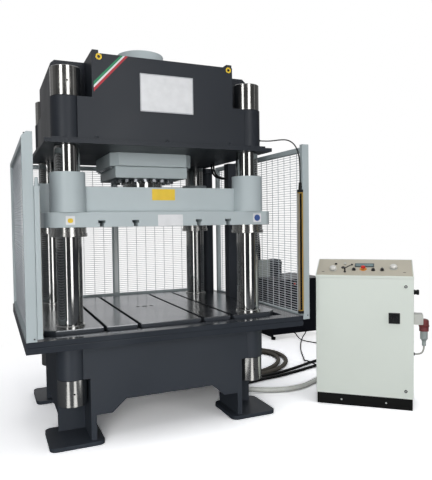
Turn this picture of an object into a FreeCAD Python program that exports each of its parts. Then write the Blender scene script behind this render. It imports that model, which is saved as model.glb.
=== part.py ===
import FreeCAD, Part
import math
import os
import re
import Sketcher
from FreeCAD import Placement, Rotation, Vector

# Four-column hydraulic press with its guards, hydraulic power unit and control cabinet.
# Millimetres. X runs along the table to the right, Y from the operator to the back, Z up.
# The origin is the centre of the table's top face. Heights below are written above the floor,
# and every helper takes table_height off them.

SIZES = {
    # columns and their nuts
    "column_span_x": 1440, "column_span_y": 1200, "column_dia": 180,
    "thread_dia": 160, "nut_dia": 210, "nut_chamfer": 5,
    "lower_nut_bottom": 285, "lower_nut_height": 195, "upper_nut_height": 210,
    "thread_set_back": 10, "tube_dia": 220, "collar_dia": 206, "collar_height": 14,
    # fits
    "bore_gap": 0.5, "thread_gap": 0.2, "slide_gap": 0.1, "seat_gap": 0.3,
    # table: how far it reaches past the columns' centres, and its slots and bores
    "table_height": 855, "table_thickness": 110, "table_past_x": 190, "table_past_y": 150,
    "table_corner": 70, "slot_pitch": 250, "slot_width": 28, "slot_head": 50,
    "slot_depth": 48, "slot_head_height": 20,
    "centre_bore_dia": 50, "pin_hole_dia": 36, "pin_hole_pitch": 120,
    # ledge round the table
    "ledge_past_x": 140, "ledge_past_y": 175, "ledge_drop": 25, "ledge_height": 80,
    "ledge_plate": 15, "ledge_band": 125, "ledge_groove_rise": 40, "ledge_groove": 4,
    # base weldment
    "plate": 45, "base_inset": 114, "base_front_inset": 65, "base_past_y": 100,
    "arch_inset": 261, "arch_foot_inset": 156, "arch_top": 297, "plate_bottom": 207,
    "wing_past_x": 85, "wing_inset_y": 170, "wing_bottom": 160, "leg_plate": 40,
    "cross_plate": 30, "leg_reach_back": 100, "foot_thickness": 30, "foot_reach_in": 96,
    "foot_past_x": 177, "foot_reach_back": 104, "foot_past_y": 138, "foot_round": 50,
    # crosshead
    "head_bottom": 2200, "head_lower_height": 290, "head_height": 603, "head_rail_rise": 22,
    "head_inset_x": 170, "head_side_past_x": 100, "head_side_inset_y": 100,
    "head_wing_past_x": 80, "head_chamfer_x": 28, "head_chamfer_z": 25, "head_pocket": 43,
    "head_rail_inset": 5, "head_gland_dia": 20, "head_gland_length": 15,
    "head_gland_root": 10, "head_gland_height": 62, "flange_past_x": 167, "flange_past_y": 130,
    "flange_thickness": 29, "lip_thickness": 14, "lip_inset_x": 52, "lip_inset_y": 15,
    # cylinder
    "barrel_dia": 400, "barrel_rise": 227, "barrel_end": 45, "barrel_collar": 480,
    "barrel_collar_height": 35, "piston_dia": 360, "piston_height": 75, "piston_gap": 10,
    "rod_dia": 340, "block_upper": 690, "block_corner": 60, "block_upper_height": 107,
    "block_lower": 610, "block_lower_height": 92, "bolt_circle": 500, "bolt_count": 20,
    "bolt_head": 40, "bolt_head_height": 26, "side_bolt_head": 26, "side_bolt_height": 15.6,
    "side_bolt_pitch": 96, "side_bolt_count": 6,
    # platen
    "platen_past_x": 175, "platen_past_y": 100, "platen_round": 60, "platen_bottom": 1567,
    "platen_plate_height": 108, "platen_box_height": 187, "platen_box_past_x": 15,
    "platen_box_past_y": 10, "sleeve_dia": 250, "sleeve_rise": 98, "ring_dia": 250,
    "ring_lip_dia": 262, "ring_drop": 67, "ring_lip_height": 25, "ring_chamfer": 4,
    # guards
    "guard_top": 2160, "guard_bar": 40, "guard_set_in": 5, "left_post_x": 68,
    "left_post_tip": 30, "right_post_x": 60, "right_post_rise": 40, "right_post_drop": 30,
    "right_rail_rise": 18, "side_guard_inset": 115, "rear_guard_inset_y": 80,
    "rear_guard_inset_x": 50, "rear_post_x": 60, "rear_post_at": -55,
    "wire": 4, "wire_pitch": 20, "stay_pitch": 100,
    "curtain_width": 36, "curtain_rise": 20, "curtain_length": 990, "curtain_proud": 6,
    "curtain_plug": 60, "curtain_plug_dia": 27,
    # risers on the ledge
    "duct_y": 170, "duct_width": 100, "duct_wall": 4,
    "riser_past_x": 20, "riser_past_y": 16, "riser_dia": 120, "riser_cap_dia": 150,
    "riser_cap": 52,
    # power unit
    "tank_x": 2180, "tank_y": 1550, "tank_length": 800, "tank_depth": 750,
    "tank_bottom": 70, "tank_top": 790, "tank_plate": 8, "tank_plate_bottom": 35,
    "tank_lid": 12, "tank_lid_margin": 10, "tank_foot_dia": 60, "tank_foot_inset": 45,
    "motor_from_left": 320, "motor_from_front": 530, "motor_dia": 230,
    "motor_flange_dia": 254, "motor_flange_height": 14, "motor_height": 233,
    "cowl_height": 75, "cowl_rim_height": 45, "cowl_past": 5, "cowl_bevel": 25,
    "filter_width": 180, "filter_depth": 100, "filter_height": 240, "filter_set_back": 400,
    "filler_from_left": 590, "filler_from_front": 70, "filler_dia": 55,
    "filler_neck_dia": 43, "filler_neck_height": 20, "filler_height": 60,
    "tank_port_height": 62, "cable_a_from_left": 317, "cable_a_height": 80,
    "cable_b_from_left": 485, "cable_b_height": 100,
    # control cabinet, in its own frame: X along its front, Y into its depth
    "cabinet_at_x": 1341, "cabinet_at_y": -672, "cabinet_turn": -41.16,
    "cabinet_x": 800, "cabinet_y": 350, "cabinet_front": 1120, "cabinet_back": 1235,
    "cabinet_back_y": 280, "sheet": 3, "plinth_height": 96, "plinth_set_back": 8,
    "door_thickness": 20, "door_top": 1100, "door_margin": 5, "door_gap": 1,
    "lock_inset": 63, "lock_upper_z": 1037, "lock_lower_z": 164, "lock_dia": 26,
    "lock_head": 8, "lock_shank_dia": 14, "cam_reach": 34,
    "switch_inset": 154, "switch_z": 770, "switch_plate": 90, "switch_plate_thickness": 6,
    "switch_knob_dia": 50, "switch_knob_height": 22, "switch_grip_width": 18,
    "switch_grip_height": 44, "switch_grip_length": 48, "switch_shaft_dia": 21,
    "switch_shaft_length": 58, "door_return": 25, "window_margin": 20,
    "gear_plate": 4, "stand_off": 20, "stand_off_dia": 14,
    # control console on the cabinet's slope
    "panel_thickness": 4, "panel_margin_x": 8, "panel_margin_y": 6, "stem_dia": 16,
    "stem_gap": 0.3, "stem_below": 6, "press_gap": 1, "collar_bore_gap": 0.5,
    "palm_dia": 58, "palm_height": 24, "palm_travel": 8, "palm_collar": 62,
    "palm_collar_height": 4, "stop_dia": 40, "stop_height": 22, "stop_travel": 6,
    "stop_collar": 60, "stop_collar_height": 3, "push_dia": 24, "push_height": 8,
    "push_travel": 3, "knob_dia": 28, "knob_height": 14, "knob_grip_width": 7,
    "knob_grip_height": 10, "lever_reach_x": 58, "lever_reach_y": 64, "lever_rise": 38,
    "lever_arm_dia": 10, "lever_hub_dia": 26, "lever_end_dia": 22, "lever_end_height": 20,
    "display_width": 161, "display_depth": 61, "display_height": 7,
    # socket and plug on the cabinet's right side
    "socket_out": 84, "socket_y": 110, "socket_body_width": 90, "socket_body_out": 76,
    "socket_low": 712, "socket_high": 800, "socket_collar_dia": 84,
    "socket_collar_height": 66, "plug_top": 690, "plug_height": 160, "plug_dia": 60,
    "plug_ring_dia": 76, "plug_ring_height": 35, "plug_neck_dia": 32,
    "plug_neck_height": 40, "plug_shoulder": 20, "lead_dia": 14, "lead_height": 453.9,
    "lead_drop": 42,
    # glands, hoses, cables and pipe
    "gland_length": 20, "gland_past": 10, "port_height": 45, "lead_gland_dia": 26,
    "lead_gland_length": 12, "block_set_back": 45, "block_depth": 60, "block_front_y": 240,
    "conduit_dia": 50, "supply_dia": 30, "return_dia": 45, "cable_dia": 14,
    "curtain_lead_dia": 10, "duct_lead_dia": 18, "pipe_dia": 30, "pipe_bend": 120,
}

# Sizes that follow the ones above: how far each piece reaches from the columns' centres,
# and how high it stands on what carries it.
FOLLOWS = {
    "lower_nut_top": "lower_nut_bottom+lower_nut_height",
    "upper_nut_bottom": "head_bottom+head_lower_height",
    "upper_nut_top": "upper_nut_bottom+upper_nut_height",
    "table_bottom": "table_height-table_thickness",
    "table_x": "column_span_x+2*table_past_x",
    "table_y": "column_span_y+2*table_past_y",
    "ledge_x": "table_x+2*ledge_past_x",
    "ledge_y": "table_y+2*ledge_past_y",
    "ledge_top": "table_height-ledge_drop",
    "ledge_bottom": "ledge_top-ledge_height",
    "base_x": "column_span_x-2*base_inset",
    "base_y": "column_span_y+2*base_past_y",
    "base_front_x": "column_span_x-2*base_front_inset",
    "arch_x": "base_x-2*arch_inset",
    "arch_foot_x": "base_x-2*arch_foot_inset",
    "wing_x": "column_span_x+2*wing_past_x",
    "wing_y": "column_span_y-2*wing_inset_y",
    "leg_back_y": "wing_y/2-leg_reach_back",
    "foot_inner_x": "base_x/2-foot_reach_in",
    "foot_outer_x": "column_span_x/2+foot_past_x",
    "foot_inner_y": "wing_y/2-foot_reach_back",
    "foot_outer_y": "column_span_y/2+foot_past_y",
    "head_top": "head_bottom+head_height",
    "head_rail_top": "head_top+head_rail_rise",
    "head_x": "column_span_x-2*head_inset_x",
    "head_rail_x": "head_x-2*head_rail_inset",
    "head_side_x": "column_span_x+2*head_side_past_x",
    "head_side_y": "column_span_y-2*head_side_inset_y",
    "head_wing_x": "column_span_x+2*head_wing_past_x",
    "flange_top": "head_bottom-lip_thickness",
    "flange_bottom": "flange_top-flange_thickness",
    "flange_x": "column_span_x+2*flange_past_x",
    "flange_y": "column_span_y+2*flange_past_y",
    "lip_x": "flange_x-2*lip_inset_x",
    "lip_y": "flange_y-2*lip_inset_y",
    "barrel_shelf": "head_top-head_pocket",
    "barrel_top": "head_top+barrel_rise",
    "rod_top": "barrel_top-barrel_end-piston_gap-piston_height",
    "block_step": "flange_bottom-block_upper_height",
    "block_bottom": "block_step-block_lower_height",
    "platen_x": "column_span_x+2*platen_past_x",
    "platen_y": "column_span_y+2*platen_past_y",
    "platen_box_x": "column_span_x+2*platen_box_past_x",
    "platen_box_y": "column_span_y+2*platen_box_past_y",
    "platen_step": "platen_bottom+platen_plate_height",
    "platen_top": "platen_step+platen_box_height",
    "sleeve_top": "platen_top+sleeve_rise",
    "ring_bottom": "platen_bottom-ring_drop",
    "left_edge": "guard_set_in-ledge_x/2",
    "guard_back_y": "ledge_y/2-side_guard_inset",
    "rear_guard_y": "ledge_y/2-rear_guard_inset_y",
    "rear_guard_x": "ledge_x-2*rear_guard_inset_x",
    "right_post_top": "guard_top+right_post_rise",
    "right_post_bottom": "ledge_top-right_post_drop",
    "right_rail_top": "guard_top+right_rail_rise",
    "curtain_bottom": "ledge_top+curtain_rise",
    "curtain_top": "curtain_bottom+curtain_length",
    "duct_x": "table_x/2",
    "riser_x": "table_x/2+riser_past_x",
    "riser_y": "table_y/2+riser_past_y",
    "lid_top": "tank_top+tank_lid",
    "motor_x": "tank_x+motor_from_left",
    "motor_y": "tank_y+motor_from_front",
    "motor_top": "lid_top+motor_height",
    "filler_x": "tank_x+filler_from_left",
    "filler_y": "tank_y+filler_from_front",
    "lock_x": "cabinet_x-lock_inset",
    "switch_x": "cabinet_x-switch_inset",
    "panel_slope": "(cabinet_back-cabinet_front)/cabinet_back_y",
    "slope_length": "sqrt(cabinet_back_y^2+(cabinet_back-cabinet_front)^2)",
    "socket_x": "cabinet_x+socket_out",
    "plug_bottom": "plug_top-plug_height",
    "block_front_x": "wing_x/2-block_set_back",
}

doc = FreeCAD.newDocument("press")
sheet = doc.addObject("Spreadsheet::Sheet", "Dims")
for row, (alias, value) in enumerate(SIZES.items(), start=1):
    sheet.set(f"A{row}", alias)
    sheet.set(f"B{row}", str(value))
    sheet.setAlias(f"B{row}", alias)
doc.recompute()

WORD = re.compile(r"[a-z][a-z_]+")
nodes = {}


def scoped(text):
    """The text with each size's name pointed at the sheet, and what follows it written out."""
    def look_up(hit):
        word = hit[0]
        if word in FOLLOWS:
            return f"({scoped(FOLLOWS[word])})"
        return "Dims." + word if word in SIZES else word
    return WORD.sub(look_up, str(text))


def val(text):
    """The number that a text of sizes comes to."""
    found = sheet.evalExpression(scoped(text))
    return float(getattr(found, "Value", found))


def bind(thing, name, text):
    thing.setExpression(name, scoped(text))


def node(name, piece):
    """Keep a finished sub-part under its own name."""
    piece.Label = name
    nodes[name] = piece
    return piece


def place(piece, x, y, z):
    """Bind a piece's place to the sheet. z is above the floor."""
    bind(piece, "Placement.Base.x", x)
    bind(piece, "Placement.Base.y", y)
    bind(piece, "Placement.Base.z", f"({z})-table_height")
    return piece


def box(name, x, y, z):
    """A block between two limits on each axis."""
    piece = doc.addObject("Part::Box", name)
    for size, (low, high) in zip(("Length", "Width", "Height"), (x, y, z)):
        bind(piece, size, f"({high})-({low})")
    return place(piece, x[0], y[0], z[0])


TURNS = {
    "x": Rotation(Vector(0, 1, 0), 90),
    "y": Rotation(Vector(1, 0, 0), -90),
    "z": Rotation(),
}


def rod(name, at, dia, length, along="z"):
    """A round bar from a point along an axis."""
    piece = doc.addObject("Part::Cylinder", name)
    bind(piece, "Radius", f"({dia})/2")
    bind(piece, "Height", length)
    piece.Placement = Placement(Vector(), TURNS[along])
    return place(piece, *at)


def sketch_on(body, role, points, offset="0"):
    """A closed outline of straight lines, each corner held by two sizes."""
    sketch = body.newObject("Sketcher::SketchObject", body.Name + "_sketch")
    plane = [part for part in body.Origin.OriginFeatures if part.Role == role][0]
    sketch.AttachmentSupport = [(plane, "")]
    sketch.MapMode = "FlatFace"
    bind(sketch, "AttachmentOffset.Base.z", offset)
    corners = [Vector(val(a), val(b), 0) for a, b in points]
    for k, corner in enumerate(corners):
        sketch.addGeometry(Part.LineSegment(corner, corners[(k + 1) % len(corners)]))
    for k in range(len(points)):
        sketch.addConstraint(Sketcher.Constraint("Coincident", k, 2, (k + 1) % len(points), 1))
    for k, texts in enumerate(points):
        for kind, line, text in zip(("DistanceX", "DistanceY"), (-2, -1), texts):
            if abs(val(text)) < 1e-9:
                sketch.addConstraint(Sketcher.Constraint("PointOnObject", k, 1, line))
            else:
                held = sketch.addConstraint(Sketcher.Constraint(kind, -1, 1, k, 1, val(text)))
                bind(sketch, f"Constraints[{held}]", text)
    return sketch


def prism(name, role, points, low, high, at=("0", "0", "0")):
    """An outline on an origin plane, padded between two limits on that plane's axis."""
    body = doc.addObject("PartDesign::Body", name)
    offset = f"-({high})" if role == "XZ_Plane" else low
    sketch = sketch_on(body, role, points, offset)
    pad = body.newObject("PartDesign::Pad", name + "_pad")
    pad.Profile = sketch
    bind(pad, "Length", f"({high})-({low})")
    body.Tip = pad
    return place(body, *at)


def turned(name, points, at=("0", "0", "0")):
    """A profile of radius and height, turned round the vertical axis."""
    body = doc.addObject("PartDesign::Body", name)
    sketch = sketch_on(body, "XZ_Plane", points)
    turn = body.newObject("PartDesign::Revolution", name + "_turn")
    turn.Profile = sketch
    turn.ReferenceAxis = (sketch, ["V_Axis"])
    turn.Angle = 360
    body.Tip = turn
    return place(body, *at)


def dress(body, kind, size, pick):
    """Round or bevel the edges of a body that pick chooses."""
    doc.recompute()
    base = body.Tip
    edges = [f"Edge{k}" for k, edge in enumerate(base.Shape.Edges, start=1) if pick(edge)]
    feature = body.newObject("PartDesign::" + kind, body.Name + "_" + kind.lower())
    feature.Base = (base, edges)
    bind(feature, "Radius" if kind == "Fillet" else "Size", size)
    body.Tip = feature
    return body


def upright(edge):
    """Whether an edge is a straight vertical one."""
    ends = [vertex.Point for vertex in edge.Vertexes]
    return len(ends) == 2 and (ends[1] - ends[0]).cross(Vector(0, 0, 1)).Length < 1e-6


def fuse(name, pieces):
    joined = doc.addObject("Part::MultiFuse", name)
    joined.Shapes = pieces
    joined.Refine = True
    return joined


def cut(name, base, tools):
    cutter = tools[0] if len(tools) == 1 else doc.addObject("Part::MultiFuse", name + "_cutter")
    if len(tools) > 1:
        cutter.Shapes = tools
    left = doc.addObject("Part::Cut", name)
    left.Base = base
    left.Tool = cutter
    left.Refine = True
    return left


def group(name, pieces):
    """Separate solids of one node."""
    together = doc.addObject("Part::Compound", name)
    together.Links = pieces
    return together


def seat(piece, frame):
    """Carry a piece that was made in a frame of its own into the press's frame."""
    doc.recompute()
    for axis in "xyz":
        piece.setExpression("Placement.Base." + axis, None)
    piece.Placement = frame.multiply(piece.Placement)
    return piece


def both(text):
    """The two limits of a size that is centred on zero."""
    return f"-({text})/2", f"({text})/2"


CORNERS = [(sx, sy) for sx in (-1, 1) for sy in (-1, 1)]


def corner_at(sx, sy, z="0"):
    return f"{sx}*column_span_x/2", f"{sy}*column_span_y/2", z


def corner_tag(sx, sy):
    return ("front" if sy < 0 else "rear") + ("_left" if sx < 0 else "_right")


def side(sign, low, high):
    """Limits on one side of the centre, in rising order."""
    return (low, high) if sign > 0 else (f"-({high})", f"-({low})")


def at_columns(name, dia, low, high):
    """Four round bars on the columns' centres."""
    return [rod(f"{name}_{corner_tag(*c)}", corner_at(*c, low), dia, f"({high})-({low})")
            for c in CORNERS]


# ---------------------------------------------------------------- columns and nuts
column_hole = "column_dia+2*bore_gap"


def column(tag, sx, sy):
    core, full = "thread_dia/2", "column_dia/2"
    foot, top = "lower_nut_bottom+thread_set_back", "upper_nut_top-thread_set_back"
    profile = [("0", foot), (core, foot), (core, "lower_nut_top"), (full, "lower_nut_top"),
               (full, "upper_nut_bottom"), (core, "upper_nut_bottom"), (core, top), ("0", top)]
    return turned("column_" + tag, profile, corner_at(sx, sy))


def tie_nut(name, sx, sy, low, high):
    """A round nut with bevelled ends."""
    inner, outer, bevel = "thread_dia/2+thread_gap", "nut_dia/2", "nut_chamfer"
    profile = [(inner, low), (f"{outer}-{bevel}", low), (outer, f"{low}+{bevel}"),
               (outer, f"{high}-{bevel}"), (f"{outer}-{bevel}", high), (inner, high)]
    return turned(f"{name}_{corner_tag(sx, sy)}", profile, corner_at(sx, sy))


def collar(sx, sy):
    """A plain wiper ring round a column, on the table."""
    inner, outer = "column_dia/2+seat_gap", "collar_dia/2"
    low, high = "table_height", "table_height+collar_height"
    profile = [(inner, low), (outer, low), (outer, high), (inner, high)]
    return turned("collar_" + corner_tag(sx, sy), profile, corner_at(sx, sy))


node("columns", group("columns", [column(corner_tag(*c), *c) for c in CORNERS]))
node("tie_nuts", group("tie_nuts", [
    tie_nut(name, *c, name + "_bottom", name + "_top")
    for name in ("lower_nut", "upper_nut") for c in CORNERS]))
node("column_collars", group("column_collars", [collar(*c) for c in CORNERS]))

# ---------------------------------------------------------------- base weldment


def arched_plate(tag, sy):
    """Front or rear plate: an arch between the feet, and notches beside the nuts."""
    half = [("arch_x/2", "arch_top"), ("arch_foot_x/2", "plate_bottom"),
            ("base_x/2", "plate_bottom"), ("base_x/2", "lower_nut_top"),
            ("base_front_x/2", "lower_nut_top"), ("base_front_x/2", "table_bottom")]
    outline = half + [(f"-{x}", z) for x, z in reversed(half)]
    return prism("base_plate_" + tag, "XZ_Plane", outline,
                 *side(sy, "base_y/2-plate", "base_y/2"))


def base_pieces():
    pieces = [arched_plate("front", -1), arched_plate("rear", 1)]
    pieces.append(box("base_deck", both("base_front_x"), both("base_y"),
                      ("table_bottom-plate", "table_bottom")))
    for sx in (-1, 1):
        tag = "left" if sx < 0 else "right"
        pieces.append(box("base_wall_" + tag, side(sx, "base_x/2-plate", "base_x/2"),
                          both("base_y"), ("plate_bottom", "table_bottom")))
        pieces.append(box("base_wing_" + tag, side(sx, "base_x/2-plate", "wing_x/2"),
                          both("wing_y"), ("wing_bottom", "table_bottom")))
    pieces += at_columns("base_tube", "tube_dia", "lower_nut_top", "table_bottom")
    for sx, sy in CORNERS:
        tag = corner_tag(sx, sy)
        pieces.append(box("leg_" + tag, side(sx, "base_x/2-leg_plate", "base_x/2"),
                          side(sy, "leg_back_y", "base_y/2"), ("foot_thickness", "plate_bottom")))
        pieces.append(box("leg_cross_" + tag, side(sx, "base_x/2-leg_plate", "wing_x/2"),
                          side(sy, "wing_y/2-cross_plate", "wing_y/2"),
                          ("foot_thickness", "wing_bottom")))
        x, y = side(sx, "foot_inner_x", "foot_outer_x"), side(sy, "foot_inner_y", "foot_outer_y")
        foot = prism("foot_" + tag, "XY_Plane",
                     [(x[0], y[0]), (x[1], y[0]), (x[1], y[1]), (x[0], y[1])],
                     "0", "foot_thickness")
        pieces.append(dress(foot, "Fillet", "foot_round", upright))
    return pieces


node("base_frame", cut("base_frame", fuse("base_weldment", base_pieces()),
                       at_columns("base_hole", column_hole, "lower_nut_top-plate",
                                  "table_height")))

# ---------------------------------------------------------------- table and ledge


def octagon(name, x, y, corner, low, high):
    """A rectangle with its four corners cut off, between two heights."""
    quarter = [(f"{x}/2", f"{y}/2-{corner}"), (f"{x}/2-{corner}", f"{y}/2")]
    outline = quarter + [(f"-({a})", b) for a, b in reversed(quarter)]
    outline += [(f"-({a})", f"-({b})") for a, b in quarter]
    outline += [(a, f"-({b})") for a, b in reversed(quarter)]
    return prism(name, "XY_Plane", outline, low, high)


def tee_slots(name, length, face, into):
    """Four T-slots along Y. face is the face's height, into is +1 down or -1 up."""
    neck, head, depth = "slot_width/2", "slot_head/2", "slot_depth"
    roof = f"{face}-{into}*({depth}-slot_head_height)"
    floor = f"{face}-{into}*{depth}"
    mouth = f"{face}+{into}*plate"
    right = [(neck, mouth), (neck, roof), (head, roof), (head, floor)]
    outline = right + [(f"-{x}", z) for x, z in reversed(right)]
    return [prism(f"{name}_{k + 3}", "XZ_Plane", outline, f"-({length})/2-1", f"({length})/2+1",
                  (f"{k}*slot_pitch", "0", "0")) for k in (-2, -1, 1, 2)]


def table():
    slab = octagon("table_slab", "table_x", "table_y", "table_corner",
                   "table_bottom", "table_height")
    holes = at_columns("table_hole", column_hole, "table_bottom", "table_height+plate")
    through = "table_thickness+2*plate"
    holes.append(rod("table_bore", ("0", "0", "table_bottom-plate"), "centre_bore_dia", through))
    holes += [rod(f"table_pin_{k + 2}", (f"{k}*pin_hole_pitch/2", "0", "table_bottom-plate"),
                  "pin_hole_dia", through) for k in (-1, 1)]
    return cut("table", slab, holes + tee_slots("table_slot", "table_y", "table_height", 1))


def ledge():
    outer = box("ledge_outer", both("ledge_x"), both("ledge_y"), ("ledge_bottom", "ledge_top"))
    well = box("ledge_well", both("ledge_x-2*ledge_band"), both("ledge_y-2*ledge_band"),
               ("ledge_bottom+ledge_plate", "ledge_top+plate"))
    opening = octagon("ledge_opening", "table_x", "table_y", "table_corner",
                      "ledge_bottom-plate", "ledge_top")
    groove = ("ledge_bottom+ledge_groove_rise", "ledge_bottom+ledge_groove_rise+ledge_groove")
    band = cut("ledge_groove", box("groove_outer", both("ledge_x+2*plate"),
                                   both("ledge_y+2*plate"), groove),
               [box("groove_inner", both("ledge_x-2*ledge_groove"),
                    both("ledge_y-2*ledge_groove"), groove)])
    return cut("ledge", outer, [well, opening, band])


node("bed_plate", table())
node("bed_ledge", ledge())

# ---------------------------------------------------------------- crosshead


def crosshead():
    """Welded box with notched corners for the nuts, and a pocket for the cylinder's collar."""
    wing = [("head_wing_x/2", "upper_nut_bottom"),
            ("head_wing_x/2", "head_top-head_chamfer_z"),
            ("head_wing_x/2-head_chamfer_x", "head_top")]
    outline = wing + [(f"-({x})", z) for x, z in reversed(wing)]
    lower, upper = ("head_bottom", "upper_nut_bottom"), ("upper_nut_bottom", "head_top")
    pieces = [
        box("head_lower", both("base_front_x"), both("base_y"), lower),
        box("head_side", both("head_side_x"), both("head_side_y"), lower),
        box("head_upper", both("head_x"), both("base_y"), upper),
        prism("head_wings", "XZ_Plane", outline, *both("wing_y")),
    ]
    pieces += at_columns("head_tube", "tube_dia", *lower)
    for sx in (-1, 1):
        pieces.append(box(f"head_rail_{sx + 2}",
                          side(sx, "head_rail_x/2-plate", "head_rail_x/2"),
                          both("base_y"), ("head_top-plate", "head_rail_top")))
    pieces.append(rod("head_gland", ("column_span_x/2+tube_dia/2-head_gland_root",
                                     "-column_span_y/2", "head_bottom+head_gland_height"),
                      "head_gland_dia", "head_gland_root+head_gland_length", "x"))
    tools = at_columns("head_hole", column_hole, "head_bottom-plate", "upper_nut_bottom+plate")
    tools.append(rod("head_bore", ("0", "0", "head_bottom-plate"), "barrel_dia+2*seat_gap",
                     "head_top-head_bottom+2*plate"))
    tools.append(box("head_pocket_tool", both("head_rail_x-2*plate"), both("base_y-2*plate"),
                     ("head_top-head_pocket", "head_top+plate")))
    return cut("head", fuse("head_weldment", pieces), tools)


def crosshead_flange():
    flat = fuse("flange_plates", [
        box("flange_lower", both("flange_x"), both("flange_y"), ("flange_bottom", "flange_top")),
        box("flange_lip", both("lip_x"), both("lip_y"), ("flange_top", "head_bottom"))])
    tools = at_columns("flange_hole", column_hole, "flange_bottom-plate", "head_bottom+plate")
    tools.append(rod("flange_bore", ("0", "0", "flange_bottom-plate"),
                     "barrel_dia+2*seat_gap", "head_bottom-flange_bottom+2*plate"))
    return cut("flange", flat, tools)


node("crosshead", crosshead())
node("crosshead_flange", crosshead_flange())

# ---------------------------------------------------------------- cylinder


def barrel():
    outer, inner, collar_edge = "barrel_dia/2", "piston_dia/2", "barrel_collar/2"
    shelf = "barrel_shelf"
    profile = [(inner, "flange_bottom"), (outer, "flange_bottom"), (outer, shelf),
               (collar_edge, shelf), (collar_edge, f"{shelf}+barrel_collar_height"),
               (outer, f"{shelf}+barrel_collar_height"), (outer, "barrel_top-nut_chamfer"),
               (f"{outer}-nut_chamfer", "barrel_top"), ("0", "barrel_top"),
               ("0", "barrel_top-barrel_end"), (inner, "barrel_top-barrel_end")]
    return turned("barrel", profile)


def hexagon(name, at, across, low, high):
    """A bolt head of six sides."""
    radius = f"({across})/sqrt(3)"
    outline = [(f"{radius}*cos({60 * k + 30} deg)", f"{radius}*sin({60 * k + 30} deg)")
               for k in range(6)]
    return prism(name, "XY_Plane", outline, low, high, at)


def cylinder_bolts():
    """A ring of bolts under the cylinder's flange, and a row of smaller ones on each side."""
    pieces = []
    for k in range(int(val("bolt_count"))):
        turn = f"({k}+0.5)*360/bolt_count"
        at = (f"bolt_circle/2*cos(({turn})*1 deg)", f"bolt_circle/2*sin(({turn})*1 deg)", "0")
        pieces.append(hexagon(f"bolt_{k + 1}", at, "bolt_head",
                              "block_bottom-bolt_head_height", "block_bottom"))
    for sx in (-1, 1):
        for k in range(int(val("side_bolt_count"))):
            at = (f"{sx}*(block_upper+block_lower)/4",
                  f"({k}-(side_bolt_count-1)/2)*side_bolt_pitch", "0")
            pieces.append(hexagon(f"side_bolt_{sx + 2}_{k + 1}", at, "side_bolt_head",
                                  "block_step-side_bolt_height", "block_step"))
    return group("cylinder_bolts_group", pieces)


def cylinder_head(name, slab, low, high, gap):
    hole = rod(name + "_bore", ("0", "0", f"{low}-plate"), f"rod_dia+2*{gap}",
               f"({high})-({low})+2*plate")
    return cut(name, slab, [hole])


node("cylinder_barrel", barrel())
node("cylinder_head_upper", cylinder_head(
    "head_block_upper", octagon("block_upper_slab", "block_upper", "block_upper", "block_corner",
                                "block_step", "flange_bottom"),
    "block_step", "flange_bottom", "bore_gap"))
node("cylinder_head_lower", cylinder_head(
    "head_block_lower", box("block_lower_slab", both("block_lower"), both("block_lower"),
                            ("block_bottom", "block_step")),
    "block_bottom", "block_step", "slide_gap"))
node("cylinder_bolts", cylinder_bolts())
node("piston_rod", turned("piston_rod_body", [
    ("0", "platen_top"), ("rod_dia/2", "platen_top"), ("rod_dia/2", "rod_top"),
    ("piston_dia/2-slide_gap", "rod_top"), ("piston_dia/2-slide_gap", "rod_top+piston_height"),
    ("0", "rod_top+piston_height")]))

# ---------------------------------------------------------------- platen
guide_hole = "column_dia+2*slide_gap"


def platen_plate():
    x, y = both("platen_x"), both("platen_y")
    slab = prism("platen_slab", "XY_Plane",
                 [(x[0], y[0]), (x[1], y[0]), (x[1], y[1]), (x[0], y[1])],
                 "platen_bottom", "platen_step")
    dress(slab, "Fillet", "platen_round", upright)
    holes = at_columns("platen_hole", guide_hole, "platen_bottom-plate", "platen_step+plate")
    return cut("platen_drilled", slab,
               holes + tee_slots("platen_slot", "platen_y", "platen_bottom", -1))


def platen_frame():
    pieces = [box("platen_box", both("platen_box_x"), both("platen_box_y"),
                  ("platen_step", "platen_top"))]
    pieces += at_columns("sleeve", "sleeve_dia", "platen_step", "sleeve_top")
    holes = at_columns("sleeve_hole", guide_hole, "platen_step-plate", "sleeve_top+plate")
    return cut("platen_frame_drilled", fuse("platen_weldment", pieces), holes)


def guide_ring(sx, sy):
    inner, outer, lip = "column_dia/2+slide_gap", "ring_dia/2", "ring_lip_dia/2"
    step = "ring_bottom+ring_lip_height"
    profile = [(inner, "ring_bottom"), (f"{lip}-ring_chamfer", "ring_bottom"),
               (lip, "ring_bottom+ring_chamfer"), (lip, step), (outer, step),
               (outer, "platen_bottom"), (inner, "platen_bottom")]
    return turned("guide_ring_" + corner_tag(sx, sy), profile, corner_at(sx, sy))


node("platen_plate", platen_plate())
node("platen_frame", platen_frame())
node("guide_rings", group("guide_rings_group", [guide_ring(*c) for c in CORNERS]))

# ---------------------------------------------------------------- guards


def wires(name, role, rect, low, high, pitch, step_axis, count):
    """A row of straight square wires: one wire, repeated along the sketch's own axis."""
    (a, b), (c, d) = rect
    body = doc.addObject("PartDesign::Body", name)
    body.AllowCompound = True
    offset = f"-({high})" if role == "XZ_Plane" else low
    sketch = sketch_on(body, role, [(a, c), (b, c), (b, d), (a, d)], offset)
    pad = body.newObject("PartDesign::Pad", name + "_wire")
    pad.Profile = sketch
    bind(pad, "Length", f"({high})-({low})")
    row = body.newObject("PartDesign::LinearPattern", name + "_row")
    row.Originals = [pad]
    row.Direction = (sketch, [step_axis])
    row.Mode = "Spacing"
    bind(row, "Offset", pitch)
    row.Occurrences = count
    body.Tip = row
    return place(body, "0", "0", "0")


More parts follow.
